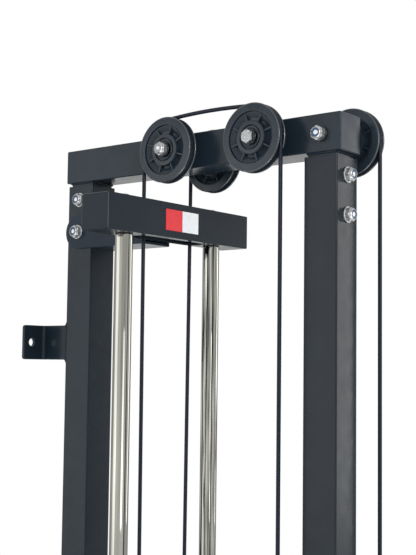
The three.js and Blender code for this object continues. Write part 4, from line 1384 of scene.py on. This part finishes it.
@dataclass
class Pulleys(Assembly):
    """The nylon pulleys and the sleeves beside them. Profiles are points of radius and height."""

    ribs: int = 8
    rib_width: float = 2.3
    rib_reach: tuple[float, float] = (22.2, 34.0)
    rib_depths: tuple[float, float] = (2.0, 6.7)
    phase: float = 22.5
    near_stack_phase: float = 27.0
    low_lead_phase: float = 17.0
    groove_play: float = 0.6
    hub: Profile = ((12.9, 8.3), (14.2, 8.4), (14.8, 7.9), (15.0, 6.0), (16.0, 6.0), (16.3, 7.7), (17.0, 8.4))
    web: Profile = ((21.3, 8.4), (22.1, 7.9), (22.4, 6.8), (22.6, 2.2), (25.6, 2.2), (26.6, 2.6), (32.8, 6.0))
    step: Profile = ((33.6, 6.1), (33.9, 4.9), (34.9, 4.9), (35.1, 7.9), (35.7, 8.2))
    flange: Profile = ((44.4, 7.3), (45.2, 6.8), (45.5, 6.1), (45.2, 5.4), (44.2, 5.25))
    flank: Profile = ((1.5, 4.9), (0.5, 4.5), (0.1, 3.7), (0.0, 2.0))
    edge_inside: Profile = ((43.6, 5.4), (43.8, 5.05), (45.2, 5.05), (45.75, 5.45), (46.0, 6.1))
    edge_outside: Profile = ((45.8, 6.75), (45.2, 7.25), (44.4, 7.45), (44.2, 7.1), (43.6, 5.4))
    race: Profile = ((5.35, 8.45), (7.4, 8.45), (7.7, 8.0), (11.6, 7.8), (11.9, 8.25), (12.85, 8.25))
    race_back: Profile = ((12.85, 4.0), (5.35, 4.0), (5.35, 8.45))
    core: Profile = ((5.35, -4.0), (8.0, -4.0), (8.0, 4.0), (5.35, 4.0), (5.35, -4.0))
    sleeve_inner: float = 5.3
    sleeve_outer: float = 8.8
    sleeve_chamfer: float = 0.4

    def build(self) -> None:
        """Make the beam's pulleys, the low pulley and the travelling pulley."""
        plan = self.plan
        beam_row = (
            ("near_stack", plan.stack_axle_x, Side.NEAR),
            ("far_stack", plan.stack_axle_x, Side.FAR),
            ("low_lead", plan.low_lead_x, Side.NEAR),
            ("high_lead", plan.front_x, Side.FAR),
        )
        for name, x, side in beam_row:
            self.pulley(f"{name}_pulley", x, side.value * plan.cable_plane, plan.axle_z)
            self.spacer(f"{name}_spacer", x, side, plan.axle_z)
        self.pulley("low_pulley", plan.low_pulley_x, -plan.cable_plane, plan.low_pulley_z)
        self.spacer("low_pulley_spacer", plan.low_pulley_x, Side.NEAR, plan.low_pulley_z)
        self.pulley("traveller_pulley", plan.fall_x, 0.0, plan.traveller_z, Axis.X)

    def pulley(self, node: str, x: float, y: float, z: float, axis: Axis = Axis.Y) -> None:
        """A pulley on its bearing.

        Args:
            node: The CAD node, and the body of the same name.
            x: The place of its middle.
            y: The same, along Y.
            z: The same, along Z.
            axis: The axis that it turns about.
        """
        phases = {"near_stack_pulley": self.near_stack_phase, "low_lead_pulley": self.low_lead_phase}
        wheel = self.wheel().joined(self.rib_set(phases.get(node, self.phase)))
        self.piece(f"{node}_wheel", wheel.along(axis).at(x, y, z), Paint.NYLON, node, node)
        # The edge rings are paler than the wheel: a painted highlight.
        self.piece(f"{node}_edges", self.edges().along(axis).at(x, y, z), Paint.EDGE, node)
        # The bearing is near-black: painted shade in the hub.
        self.piece(f"{node}_bearing", self.bearing().along(axis).at(x, y, z), Paint.BEARING, node)

    def wheel(self) -> Form:
        """A ribbed pulley about +Z, its groove at height 0."""
        groove = self.plan.pitch_radius - self.plan.cable_radius - self.groove_play
        upper = [*self.hub, *self.web, *self.step, *self.flange]
        upper += [(groove + rise, height) for rise, height in self.flank]
        return Form.turned([*upper, *reversed(flipped(upper)), upper[0]], PULLEY_FACETS)

    def edges(self) -> Form:
        """Bead rings on both flanges' edges, in a glossier nylon whose paler colour is a painted highlight.
        """
        bead = [*self.edge_inside, *self.edge_outside]
        return Form.turned(bead, PULLEY_FACETS).joined(Form.turned(flipped(bead), PULLEY_FACETS).closed())

    def rib_set(self, phase: float) -> Form:
        """The radial ribs in the pockets of both faces.

        Args:
            phase: The turn of the whole set in degrees.

        Returns:
            The ribs.
        """
        inner, outer = self.rib_reach
        half = self.rib_width / 2
        ribs = Form()
        for index in range(self.ribs):
            turn = Matrix.Rotation(2 * math.pi * index / self.ribs - math.radians(phase), 4, "Z")
            for sign in (-1, 1):
                low, high = sorted(sign * depth for depth in self.rib_depths)
                rib = Form.block((inner, -half, low), (outer, half, high)).softened(0.45, 3)
                ribs.joined(rib.moved(turn))
        return ribs

    def bearing(self) -> Form:
        """The two bearing rings and the sleeve between them."""
        race = [*self.race, *self.race_back]
        rings = Form().joined(Form.turned(flipped(race), 64).closed(), Form.turned(race, 64).closed())
        return rings.joined(Form.turned(self.core, 48))

    def spacer(self, node: str, x: float, side: Side, z: float) -> None:
        """The sleeve between the frame and a pulley's hub.

        Args:
            node: The CAD node that it stands for.
            x: The place of its axle.
            side: The side of the machine.
            z: The height of its axle.
        """
        near = self.plan.half + self.plan.seat
        far = self.plan.cable_plane - self.plan.hub_half - self.plan.seat
        inner, outer, chamfer = self.sleeve_inner, self.sleeve_outer, self.sleeve_chamfer
        profile = [(inner, near), (outer - chamfer, near), (outer, near + chamfer), (outer, far - chamfer)]
        profile += [(outer - chamfer, far), (inner, far), (inner, near)]
        sleeve = Form.turned(profile, 48).along(Axis.Y if side is Side.FAR else Axis.MINUS_Y).at(x, 0.0, z)
        self.piece(f"{node}_sleeve", sleeve, Paint.ZINC, node=node)


@dataclass
class CableRun(Assembly):
    """The coated cable over the pulleys and down to the handles."""

    arc_steps: int = 18
    fall_steps: int = 12
    high_steps: int = 60
    low_steps: int = 40
    overlap: float = 0.8
    bow: float = 5.0

    def build(self) -> None:
        """Make the routes, the falls, the wrap and the two tails."""
        plan = self.plan
        near, far = -plan.cable_plane, plan.cable_plane
        low_route = [(plan.fall_x, near, plan.lead_bottom)]
        low_route += self.arc(plan.stack_axle_x, near, plan.axle_z, 180, 90 + self.bow)
        low_end = self.arc(plan.low_lead_x, near, plan.axle_z, 90 - self.bow, 0)
        low_route += self.bowed(low_route[-1], low_end[0]) + low_end
        low_route += self.arc(plan.low_pulley_x, near, plan.low_pulley_z, 180, 270)
        low_route += [(plan.low_pulley_x + plan.cable_lead, near, plan.low_tail_z)]
        self.run("low_cable_over_beam", low_route, "low_cable_route")
        high_route = [(plan.fall_x, far, plan.lead_bottom)]
        high_route += self.arc(plan.stack_axle_x, far, plan.axle_z, 180, 90)
        high_route += self.arc(plan.front_x, far, plan.axle_z, 90, 0)
        high_route += [(plan.high_tail_x, far, plan.lead_bottom)]
        self.run("high_cable_over_beam", high_route, "high_cable_route")
        self.falls()
        self.tails()

    def arc(self, x: float, y: float, z: float, start: float, end: float) -> list[Point]:
        """Points round a pulley that turns about Y, between two angles in degrees."""
        steps = max(2, round(abs(end - start) / 90 * self.arc_steps))
        return [(a, y, b) for a, b in arc_points(x, z, self.plan.pitch_radius, start, end, steps)]

    def bowed(self, start: Point, end: Point) -> list[Point]:
        """Points between two places on one level, on a curve that leaves and arrives at the bow's slope.

        Args:
            start: The first place, which isn't among the points.
            end: The last place, which isn't either.

        Returns:
            The points.
        """
        reach = end[0] - start[0]
        rise = reach * math.tan(math.radians(self.bow))
        parts = [index / self.arc_steps for index in range(1, self.arc_steps)]
        return [(start[0] + part * reach, start[1], start[2] + rise * part * (1 - part)) for part in parts]

    def straight(self, start: Point, end: Point, steps: int) -> list[Vector]:
        """Points along a straight line."""
        a, b = Vector(start), Vector(end)
        return [a.lerp(b, index / steps) for index in range(steps + 1)]

    def run(self, name: str, path: Sequence[Point], node: str, body: Body = Body.FRAME) -> bpy.types.Object:
        """Finish a length of cable that rides on one body."""
        return self.piece(name, Form.swept(path, self.plan.cable_radius), Paint.CABLE, body, node)

    def falls(self) -> None:
        """The two falls, fixed to the frame though on the machine they shorten as the stack lifts, and the
        wrap under the travelling pulley.
        """
        plan = self.plan
        wrap_top = plan.traveller_z + plan.cable_lead
        ring = arc_points(0.0, plan.traveller_z, plan.pitch_radius, 180, 360, 2 * self.arc_steps)
        line = [(-plan.pitch_radius, wrap_top), *ring, (plan.pitch_radius, wrap_top)]
        wrap = [(plan.fall_x, y, z) for y, z in line]
        self.run("cable_under_traveller", wrap, "traveller_cable_wrap", Body.STACK)
        anchor = plan.lead_bottom - plan.seat
        for side in Side:
            top = (plan.fall_x, side.value * plan.cable_plane, anchor + self.overlap)
            bottom = (plan.fall_x, side.value * plan.pitch_radius, wrap_top - self.overlap)
            node = f"{side.word}_stack_fall"
            fall = self.run(f"{node}_cable", self.straight(top, bottom, self.fall_steps), node)
            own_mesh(fall)

    def tails(self) -> None:
        """The two tails, which on the machine lengthen as the handles are pulled; here they are fixed meshes
        on no body.
        """
        plan = self.plan
        x, y, z = plan.high_tail_x, plan.cable_plane, plan.low_tail_z
        start = (x, y, plan.lead_bottom + self.overlap)
        end = (x, y, plan.high_stop_top - self.overlap)
        self.tail("high", self.straight(start, end, self.high_steps), Body.HIGH_END)
        start = (plan.low_pulley_x + plan.cable_lead - self.overlap, -y, z)
        end = (plan.low_stop_start + self.overlap, -y, z)
        self.tail("low", self.straight(start, end, self.low_steps), Body.LOW_END)

    def tail(self, name: str, path: Sequence[Vector], body: Body) -> None:
        """Finish a tail that stretches between the frame and a cable end.

        Args:
            name: Its name.
            path: The points of its centre line.
            body: Not used.
        """
        form = Form.swept(path, self.plan.cable_radius)
        made = self.loose(f"{name}_tail_cable", form, Paint.CABLE, f"{name}_cable_tail")
        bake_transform(made)


@dataclass
class CableEnd(Assembly):
    """A cable's stop, snap hook and stirrup handle. Profiles are points of radius and height."""

    stop_radius: float = 15.0
    stop_length: float = 34.0
    eye_radius: float = 9.0
    wire: float = 2.5
    hook_half: float = 9.5
    hook_straight: float = 36.0
    gate_drop: float = 5.0
    gate_rise: float = 7.0
    gate_slimness: float = 0.86
    nose: Profile = ((0.0, -3.0), (3.1, -3.0), (3.3, -2.4), (3.3, 2.4), (3.1, 3.0), (0.0, 3.0))
    hinge: Profile = ((0.0, -3.1), (1.3, -3.1), (1.6, -2.8), (1.6, 2.8), (1.3, 3.1), (0.0, 3.1))
    bail_wire: float = 3.5
    bail_top: float = 11.0
    bail_half: float = 62.0
    bail_drop: float = 96.0
    bail_nut: Profile = ((0.0, 0.0), (6.4, 0.0), (7.0, 0.6), (7.0, 3.4), (5.4, 4.6), (0.0, 4.6))
    bail_nut_inset: float = 1.2
    grip_radius: float = 15.0
    grip_half: float = 54.0
    grip_flange: float = 7.0
    grip_ribs: int = 9

    @property
    def eye_drop(self) -> float:
        """The distance from the top of the stop to the middle of its eye."""
        return self.stop_length + self.eye_radius - self.wire

    @property
    def hook_top(self) -> float:
        """The height of the hook's top bar over the middle of the eye."""
        inner = self.eye_radius - self.wire
        return inner - math.sqrt(inner**2 - self.wire**2) + self.plan.seat + self.wire - inner

    @property
    def bail_height(self) -> float:
        """The height of the bail's top bar over the middle of the eye."""
        hook_bottom = self.hook_top - self.hook_straight - 2 * self.hook_half
        hook_inner = self.hook_half - self.wire
        hook_rise = hook_inner - math.sqrt(hook_inner**2 - self.bail_wire**2)
        bail_inner = self.bail_top - self.bail_wire
        bail_rise = bail_inner - math.sqrt(bail_inner**2 - self.wire**2)
        return hook_bottom + self.wire + hook_rise + bail_rise + self.plan.seat + self.bail_wire

    def build(self) -> None:
        """Make both cable ends."""
        plan = self.plan
        x, y, z = plan.high_tail_x, plan.cable_plane, plan.high_stop_top
        self.end("high", Matrix.Translation((x, y, z)), Body.HIGH_END)
        self.handle("high", Matrix.Translation((x, y, z - self.eye_drop)), Body.HIGH_HANDLE)
        x, y, z = plan.low_stop_start, -plan.cable_plane, plan.low_tail_z
        self.end("low", Matrix.Translation((x, y, z)) @ Axis.MINUS_X.value, Body.LOW_END)
        self.handle("low", Matrix.Translation((x + self.eye_drop, y, z)), Body.LOW_HANDLE)

    def end(self, name: str, matrix: Matrix, body: Body) -> None:
        """The rubber stop and its steel eye, its top at 0 and its eye along -Z.

        Args:
            name: The cable's name.
            matrix: Where the stop's top stands.
            body: The body that carries them.
        """
        low = -self.stop_length
        radius = self.stop_radius
        groove = radius - 0.8
        profile = [(0.0, low), (radius - 3.4, low), (radius - 1.2, low + 0.8), (radius, low + 3.0)]
        profile += [(radius, -17.5), (groove, -17.0), (groove, -15.6), (radius, -15.1), (radius, -9.5)]
        profile += [(radius - 0.7, -8.4), (7.2, -0.9), (6.0, -0.1), (0.0, -0.1)]
        stop = Form.turned(profile, 64).moved(matrix)
        node = f"{name}_cable_stop"
        self.piece(f"{node}_rubber", stop, Paint.RUBBER, body, node)
        eye = Form.ring(self.eye_radius, self.wire).along(Axis.Y).at(0.0, 0.0, -self.eye_drop)
        shank = [(0.0, low - 2.2), (3.6, low - 2.2), (4.6, low - 0.6), (4.6, low + 1.0), (0.0, low + 1.0)]
        self.piece(f"{name}_cable_eye", eye.joined(Form.turned(shank, 40)).moved(matrix), Paint.STEEL, body)

    def handle(self, name: str, matrix: Matrix, body: Body) -> None:
        """The snap hook and handle about the middle of the eye.

        Args:
            name: The cable's name.
            matrix: Where the eye's middle stands.
            body: The body that carries them.
        """
        self.piece(f"{name}_hook", self.hook().moved(matrix), Paint.STEEL, body, f"{name}_snap_hook")
        self.piece(f"{name}_bail", self.bail().moved(matrix), Paint.STEEL, body)
        self.piece(f"{name}_grip", self.grip().moved(matrix), Paint.GRIP, body, f"{name}_handle")

    def hook(self) -> Form:
        """The snap hook in the YZ plane, its top bar in the eye."""
        half = self.hook_half
        top = self.hook_top - half
        bottom = top - self.hook_straight
        gate_top, gate_bottom = top - self.gate_drop, bottom + self.gate_rise
        upper = arc_points(0.0, top, half, 0, 180, 16)
        lower = arc_points(0.0, bottom, half, 180, 360, 16)
        path = [(half, gate_top + 1.0), *upper, *lower, (half, gate_bottom - 1.0)]
        body = Form.swept([(0.0, y, z) for y, z in path], self.wire, 24)
        ends = [(0.0, half, gate_top + 0.6), (0.0, half, gate_bottom - 0.6)]
        gate = Form.swept(ends, self.wire * self.gate_slimness, 24)
        nose = Form.turned(self.nose, 32).at(0.0, half, gate_top)
        hinge = Form.turned(self.hinge, 24).along(Axis.X).at(0.0, half, gate_bottom + 1.0)
        return body.joined(gate, nose, hinge)

    def bail(self) -> Form:
        """The bent bar of the handle, in the XZ plane, its top bar at the bail's height."""
        half = self.bail_half
        shoulder = 2 * self.grip_radius - self.bail_drop
        top = arc_points(0.0, -self.bail_top, self.bail_top, 8, 172, 20)
        side = [(half, -self.bail_drop), (half, shoulder - 7.0), (half - 1.2, shoulder - 2.0)]
        side += [(half - 4.2, shoulder + 3.4)]
        path = [*side, *top, *((-x, z) for x, z in reversed(side))]
        bar = Form.swept([(x, 0.0, z) for x, z in path], self.bail_wire, 24)
        axle = Form.rod(self.bail_wire, -half, half, 32).along(Axis.X).at(0.0, 0.0, -self.bail_drop)
        for sign, axis in ((-1, Axis.MINUS_X), (1, Axis.X)):
            nut = Form.turned(self.bail_nut, 32).along(axis)
            bar.joined(nut.at(sign * (half - self.bail_nut_inset), 0.0, -self.bail_drop))
        return bar.joined(axle).at(0.0, 0.0, self.bail_height)

    def grip(self) -> Form:
        """The ribbed rubber grip between two end flanges."""
        radius = self.grip_radius
        half = self.grip_half
        right = [(0.0, half), (radius - 1.0, half), (radius, half - 1.0), (radius, half - 3.6)]
        right += [(radius - 1.4, half - 4.4)]
        span = 2 * (half - self.grip_flange)
        length = span / self.grip_ribs
        body = []
        for index in range(self.grip_ribs):
            start = half - self.grip_flange - span * index / self.grip_ribs
            body += [(radius - 1.5, start), (radius - 0.6, start - length * 0.22)]
            body += [(radius - 0.6, start - length * 0.72), (radius - 1.5, start - length * 0.94)]
        grip = Form.turned([*right, *body, *reversed(flipped(right))], 56).along(Axis.X)
        return grip.at(0.0, 0.0, self.bail_height - self.bail_drop)


@dataclass
class WeightStack(Assembly):
    """Plates, top plate, selector stem and pin, bumpers and the travelling pulley's yoke."""

    fasteners: Fasteners
    width: float = 280.0
    depth: float = 110.0
    corner: float = 6.0
    rod_hole: float = 13.5
    stem_radius: float = 12.0
    stem_play: float = 1.0
    stem_start: float = 6.0
    drill_reach: float = 20.0
    flange_radius: float = 18.0
    flange: float = 8.0
    flange_play: float = 0.3
    flange_seat: float = 8.6
    pin_radius: float = 4.75
    pin_plate: int = 3
    pin_reach: float = 24.0
    pin_hole_end: float = 26.0
    pin_play: float = 0.4
    drill_play: float = 0.3
    sink: float = 3.2
    sink_depth: float = 2.2
    bush_bore: float = 12.9
    bush_radius: float = 19.5
    rest_gap: float = 0.1
    bumper_bore: float = 13.0
    bumper_radius: float = 25.0
    bumper_height: float = 30.0
    yoke_base: tuple[float, float, float] = (52.0, 76.0, 6.0)
    yoke_screw: float = 5.0
    yoke_screw_inset: float = 10.0
    cheek: float = 5.0
    cheek_width: float = 36.0
    cheek_start: float = 0.5

    def build(self) -> None:
        """Make the whole stack."""
        self.plates()
        self.top_plate()
        self.stem()
        self.pin()
        for side in Side:
            self.bumper(side)
        self.yoke()

    def blank(self) -> Form:
        """A plate with its rod holes, its underside at 0, about the guide rods' centre."""
        outline = rounded_rectangle(self.depth, self.width, self.corner, 8)
        blank = Form.prism(outline, self.plan.plate).softened(1.2, 3, SHARP_EDGES)
        hole = Form.rod(self.rod_hole, -CUTTER_EXCESS, self.plan.plate + CUTTER_EXCESS, 64)
        half = self.plan.rod_spacing / 2
        return blank.cut(*(hole.copy().at(0.0, side.value * half, 0.0) for side in Side))

    def plates(self) -> None:
        """The weight plates, each drilled for the stem and for the pin."""
        plan = self.plan
        offset = plan.fall_x - plan.guide_x
        middle = plan.plate / 2
        radius = self.pin_radius
        front = self.depth / 2
        stem = Form.rod(self.stem_radius + self.stem_play, -CUTTER_EXCESS, plan.plate + CUTTER_EXCESS, 64)
        pin = Form.rod(radius + self.pin_play, -self.pin_hole_end, front + CUTTER_EXCESS, 40).along(Axis.X)
        sink = Form.turned([(0.0, 0.0), (radius, 0.0), (radius + self.sink, self.sink), (0.0, self.sink)], 40)
        sink.along(Axis.X).at(front - self.sink_depth, 0.0, middle)
        pattern = self.blank().cut(stem.at(offset, 0.0, 0.0), pin.at(0.0, 0.0, middle), sink)
        for index in range(1, plan.plate_count + 1):
            node = f"weight_plate_{index}"
            body = Body.STACK if index <= self.pin_plate else Body.FRAME
            plate = pattern.copy().at(plan.guide_x, 0.0, plan.top_plate_bottom - index * plan.plate_pitch)
            self.piece(f"{node}_casting", plate, Paint.PLATE, body, node)
        pattern.bm.free()

    def top_plate(self) -> None:
        """The top plate with its bushes."""
        plan = self.plan
        offset = plan.fall_x - plan.guide_x
        top, play = plan.plate, self.flange_play
        seat = Form.rod(self.flange_radius + play, top - self.flange_seat, top + CUTTER_EXCESS, 64)
        through = Form.rod(self.stem_radius + play, -CUTTER_EXCESS, top, 64)
        plate = self.blank().cut(seat.at(offset, 0.0, 0.0), through.at(offset, 0.0, 0.0))
        plate.at(plan.guide_x, 0.0, plan.top_plate_bottom)
        self.piece("stack_top_plate_steel", plate, Paint.PLATE, Body.STACK, "stack_top_plate")
        inner, outer = self.bush_bore, self.bush_radius
        collar = [(inner, 0.0), (outer, 0.0), (outer, 1.6), (outer - 0.9, 2.4), (inner + 0.4, 2.4)]
        collar += [(inner, 2.0), (inner, 0.0)]
        z = plan.top_plate_bottom + plan.plate + self.rest_gap
        for side in Side:
            bush = Form.turned(collar, 64).at(plan.guide_x, side.value * plan.rod_spacing / 2, z)
            self.piece(f"{side.word}_rod_bush", bush, Paint.CAP, Body.STACK, slot=Slot.NYLON)

    def stem(self) -> None:
        """The drilled selector stem that hangs in the top plate."""
        plan = self.plan
        bottom = plan.stack_bottom + self.stem_start
        top = plan.top_plate_bottom + plan.plate - plan.seat
        radius, rim, under = self.stem_radius, self.flange_radius, top - self.flange
        profile = [(0.0, bottom), (radius - 2.0, bottom), (radius, bottom + 2.0), (radius, under)]
        profile += [(rim, under), (rim, top - 0.6), (rim - 0.6, top), (0.0, top)]
        drills = []
        for index in range(plan.plate_count):
            z = plan.stack_bottom + index * plan.plate_pitch + plan.plate / 2
            drill = Form.rod(self.pin_radius + self.drill_play, -self.drill_reach, self.drill_reach, 32)
            drills.append(drill.along(Axis.X).at(0.0, 0.0, z))
        stem = Form.turned(profile, 64).cut(*drills).at(plan.fall_x, 0.0, 0.0)
        self.piece("selector_stem_bar", stem, Paint.STEEL, Body.STACK, "selector_stem")

    def pin(self) -> None:
        """The selector pin: a steel shaft and a moulded knob."""
        plan = self.plan
        front = self.depth / 2 + plan.seat
        radius = self.pin_radius
        shaft = [(0.0, -self.pin_reach), (radius - 1.4, -self.pin_reach), (radius, 1.6 - self.pin_reach)]
        shaft += [(radius, front), (8.0, front), (8.0, front + 5.4), (7.4, front + 6.0), (0.0, front + 6.0)]
        knob = [(0.0, 6.1), (8.4, 6.1), (9.0, 7.4), (8.8, 11.0), (9.6, 16.0), (11.4, 20.5), (12.0, 26.0)]
        knob += [(11.6, 30.5), (9.8, 34.0), (6.0, 35.7), (0.0, 36.0)]
        knob = [(radius, front + rise) for radius, rise in knob]
        z = plan.top_plate_bottom - self.pin_plate * plan.plate_pitch + plan.plate / 2
        parts = (("shaft", shaft, Paint.STEEL, "selector_pin"), ("knob", knob, Paint.KNOB, ""))
        for name, profile, paint, node in parts:
            form = Form.turned(profile, 64).along(Axis.X).at(plan.guide_x, 0.0, z)
            self.piece(f"selector_pin_{name}", form, paint, Body.PIN, node)

    def bumper(self, side: Side) -> None:
        """A rubber bumper round a guide rod."""
        plan = self.plan
        inner, outer, height = self.bumper_bore, self.bumper_radius, self.bumper_height
        waist = outer - 1.6
        profile = [(inner, 0.0), (outer - 1.0, 0.0), (outer, 1.0), (outer, 9.0), (waist, 11.0), (waist, 19.0)]
        profile += [(outer, 21.0), (outer, height - 1.6), (waist, height), (inner, height), (inner, 0.0)]
        ring = Form.turned(profile, 64).at(plan.guide_x, side.value * plan.rod_spacing / 2, plan.rod_bottom)
        self.piece(f"{side.word}_bumper_ring", ring, Paint.RUBBER, node=f"{side.word}_bumper")

    def yoke(self) -> None:
        """The yoke, its screws and the travelling pulley's axle."""
        plan = self.plan
        depth, width, thickness = self.yoke_base
        inner = plan.hub_half + plan.seat
        half = self.cheek_width / 2
        rise = plan.traveller_z - plan.yoke_bottom
        base = Form.block((-depth / 2, -width / 2, 0.0), (depth / 2, width / 2, thickness)).softened(1.0, 3)
        start = self.cheek_start
        outline = [(half, start), *arc_points(0.0, rise, half, 0, 180, 24), (-half, start)]
        cheek = Form.prism(outline, self.cheek).softened(0.6, 2).along(Axis.MINUS_Y)
        cheek.moved(Matrix.Rotation(math.pi / 2, 4, "Z"))
        base.joined(cheek.copy().at(inner, 0.0, 0.0), cheek.copy().at(-inner - self.cheek, 0.0, 0.0))
        for sign in (-1, 1):
            x, end, z = sign * (inner + self.cheek + 0.6), half - 1.0, thickness + 0.4
            base.joined(weld_bead([(x, -end, z), (x, end, z)], 1.8))
        base.at(plan.fall_x, 0.0, plan.yoke_bottom)
        self.piece("traveller_yoke_plates", base, Paint.FRAME, Body.STACK, "traveller_yoke", Slot.STACK_PAINT)
        for side in Side:
            y = side.value * (width / 2 - self.yoke_screw_inset)
            screw = self.fasteners.hexagon(self.yoke_screw, False)
            screw.at(plan.fall_x, y, plan.yoke_bottom + thickness + self.rest_gap)
            self.piece(f"yoke_{side.word}_screw", screw, Paint.ZINC, Body.STACK)
        face = inner + self.cheek + plan.seat
        start, end = ((plan.fall_x + reach, 0.0, plan.traveller_z) for reach in (-face, face))
        self.fasteners.between("traveller_axle_bolt", start, end, Body.STACK, "traveller_axle", True)


@dataclass
class Studio:
    """Floor, daylight and camera."""

    camera_at: Point = (1.20315, -1.22707, 1.77417)
    azimuth: float = 38.443
    elevation: float = 4.520
    roll: float = 0.713
    lens: float = 72.92
    sensor: float = 36.0
    floor_size: float = 12.0
    floor_drop: float = 0.5
    floor_glow: float = 0.36
    ambient: float = 0.64

    def build(self) -> None:
        """Make the floor, the lamps, the world and the camera."""
        self.floor()
        self.world()
        self.lamp("left", (-1.1, -2.1, 1.9), (0.2, 0.0, 1.8), (1.8, 1.8), 16.0)
        self.lamp("front", (2.1, -1.5, 2.55), (0.2, 0.0, 1.85), (0.5, 0.5), 20.0)
        self.lamp("band", (2.47, -1.05, 1.55), (0.16, -0.1, 1.65), (0.9, 0.7), 5.0)
        self.lamp("rear", (4.2, 7.3, 2.2), (0.45, 0.0, 2.0), (1.5, 3.6), 69.0)
        self.lamp("bounce", (1.0, -0.6, 0.05), (0.3, 0.0, 2.0), (1.2, 1.2), 30.0)
        self.camera()

    def floor(self) -> None:
        """A pale matt floor."""
        form = Form()
        bmesh.ops.create_grid(form.bm, x_segments=1, y_segments=1, size=self.floor_size / 2 / MM)
        mesh = form.at(0.0, 0.0, -self.floor_drop).moved(Matrix.Scale(MM, 4)).mesh("floor")
        bench = Bench("floor_paper")
        bench.tint(bench.noise(bench.place(), 3.0, 2.0), (0.8, 0.8, 0.8), (1.0, 1.0375))
        bench.link(self.seen_directly(bench.tree, 0.0, self.floor_glow), bench.shader, "Emission Strength")
        bench.set(Roughness=0.9, Emission_Color=(1.0, 1.0, 1.0, 1.0))
        mesh.materials.append(bench.material)
        placed(bpy.data.objects.new("floor", mesh))

    def world(self) -> None:
        """A white surround that lights the object at a plain level."""
        world = bpy.data.worlds.new("studio")
        bpy.context.scene.world = world
        world.use_nodes = True
        tree = world.node_tree
        tree.nodes.clear()
        light = tree.nodes.new("ShaderNodeBackground")
        light.inputs["Color"].default_value = (1.0, 1.0, 1.0, 1.0)
        output = tree.nodes.new("ShaderNodeOutputWorld")
        tree.links.new(self.seen_directly(tree, self.ambient, 1.0), light.inputs["Strength"])
        tree.links.new(light.outputs["Background"], output.inputs["Surface"])

    def seen_directly(self, tree: bpy.types.NodeTree, otherwise: float, strength: float) -> Socket:
        """A strength for what the camera, a gloss or a glass sees, and another for what only lights.

        Args:
            tree: The node tree that it is added to.
            otherwise: The strength for all other rays.
            strength: The strength for camera, glossy and transmission rays.

        Returns:
            The strength's socket.
        """
        rays = tree.nodes.new("ShaderNodeLightPath")
        seen = rays.outputs["Is Glossy Ray"]
        for kind in ("Is Transmission Ray", "Is Camera Ray"):
            either = tree.nodes.new("ShaderNodeMath")
            either.operation = "MAXIMUM"
            tree.links.new(seen, either.inputs[0])
            tree.links.new(rays.outputs[kind], either.inputs[1])
            seen = either.outputs[0]
        level = tree.nodes.new("ShaderNodeMapRange")
        level.inputs["To Min"].default_value = otherwise
        level.inputs["To Max"].default_value = strength
        tree.links.new(seen, level.inputs["Value"])
        return level.outputs["Result"]

    def lamp(self, name: str, place: Point, target: Point, size: tuple[float, float], power: float) -> None:
        """A soft box.

        Args:
            name: The lamp's name.
            place: Where it stands, in metres.
            target: Where it points.
            size: Its width and height.
            power: Its power in watts.
        """
        light = bpy.data.lights.new(name, "AREA")
        light.shape = "RECTANGLE"
        light.size, light.size_y = size
        light.energy = power
        lamp = placed(bpy.data.objects.new(name, light))
        lamp.visible_camera = False
        lamp.location = place
        lamp.rotation_euler = (Vector(target) - Vector(place)).to_track_quat("-Z", "Y").to_euler()

    def camera(self) -> None:
        """The camera at the photograph's viewing angle."""
        lens = bpy.data.cameras.new("camera")
        lens.lens = self.lens
        lens.sensor_width = self.sensor
        lens.clip_start = 0.01
        camera = placed(bpy.data.objects.new("camera", lens))
        turn = Matrix.Rotation(math.radians(self.azimuth), 4, "Z")
        tilt = Matrix.Rotation(math.radians(90.0 + self.elevation), 4, "X")
        roll = Matrix.Rotation(math.radians(self.roll), 4, "Z")
        camera.matrix_world = Matrix.Translation(self.camera_at) @ turn @ tilt @ roll
        bpy.context.scene.camera = camera
        bpy.context.scene.view_settings.view_transform = "Standard"


def main() -> None:
    """Load the frame and build every sub-assembly."""
    logging.basicConfig(level=logging.INFO, format="%(message)s")
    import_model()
    plan = Plan()
    fasteners = Fasteners(plan)
    assemblies = (
        Framework(plan),
        GuideFrame(plan),
        WallBrackets(plan),
        fasteners,
        Pulleys(plan),
        CableRun(plan),
        CableEnd(plan),
        WeightStack(plan, fasteners),
        Studio(),
    )
    for assembly in assemblies:
        assembly.build()
        LOG.info("built %s", type(assembly).__name__)


if __name__ == "__main__":
    main()
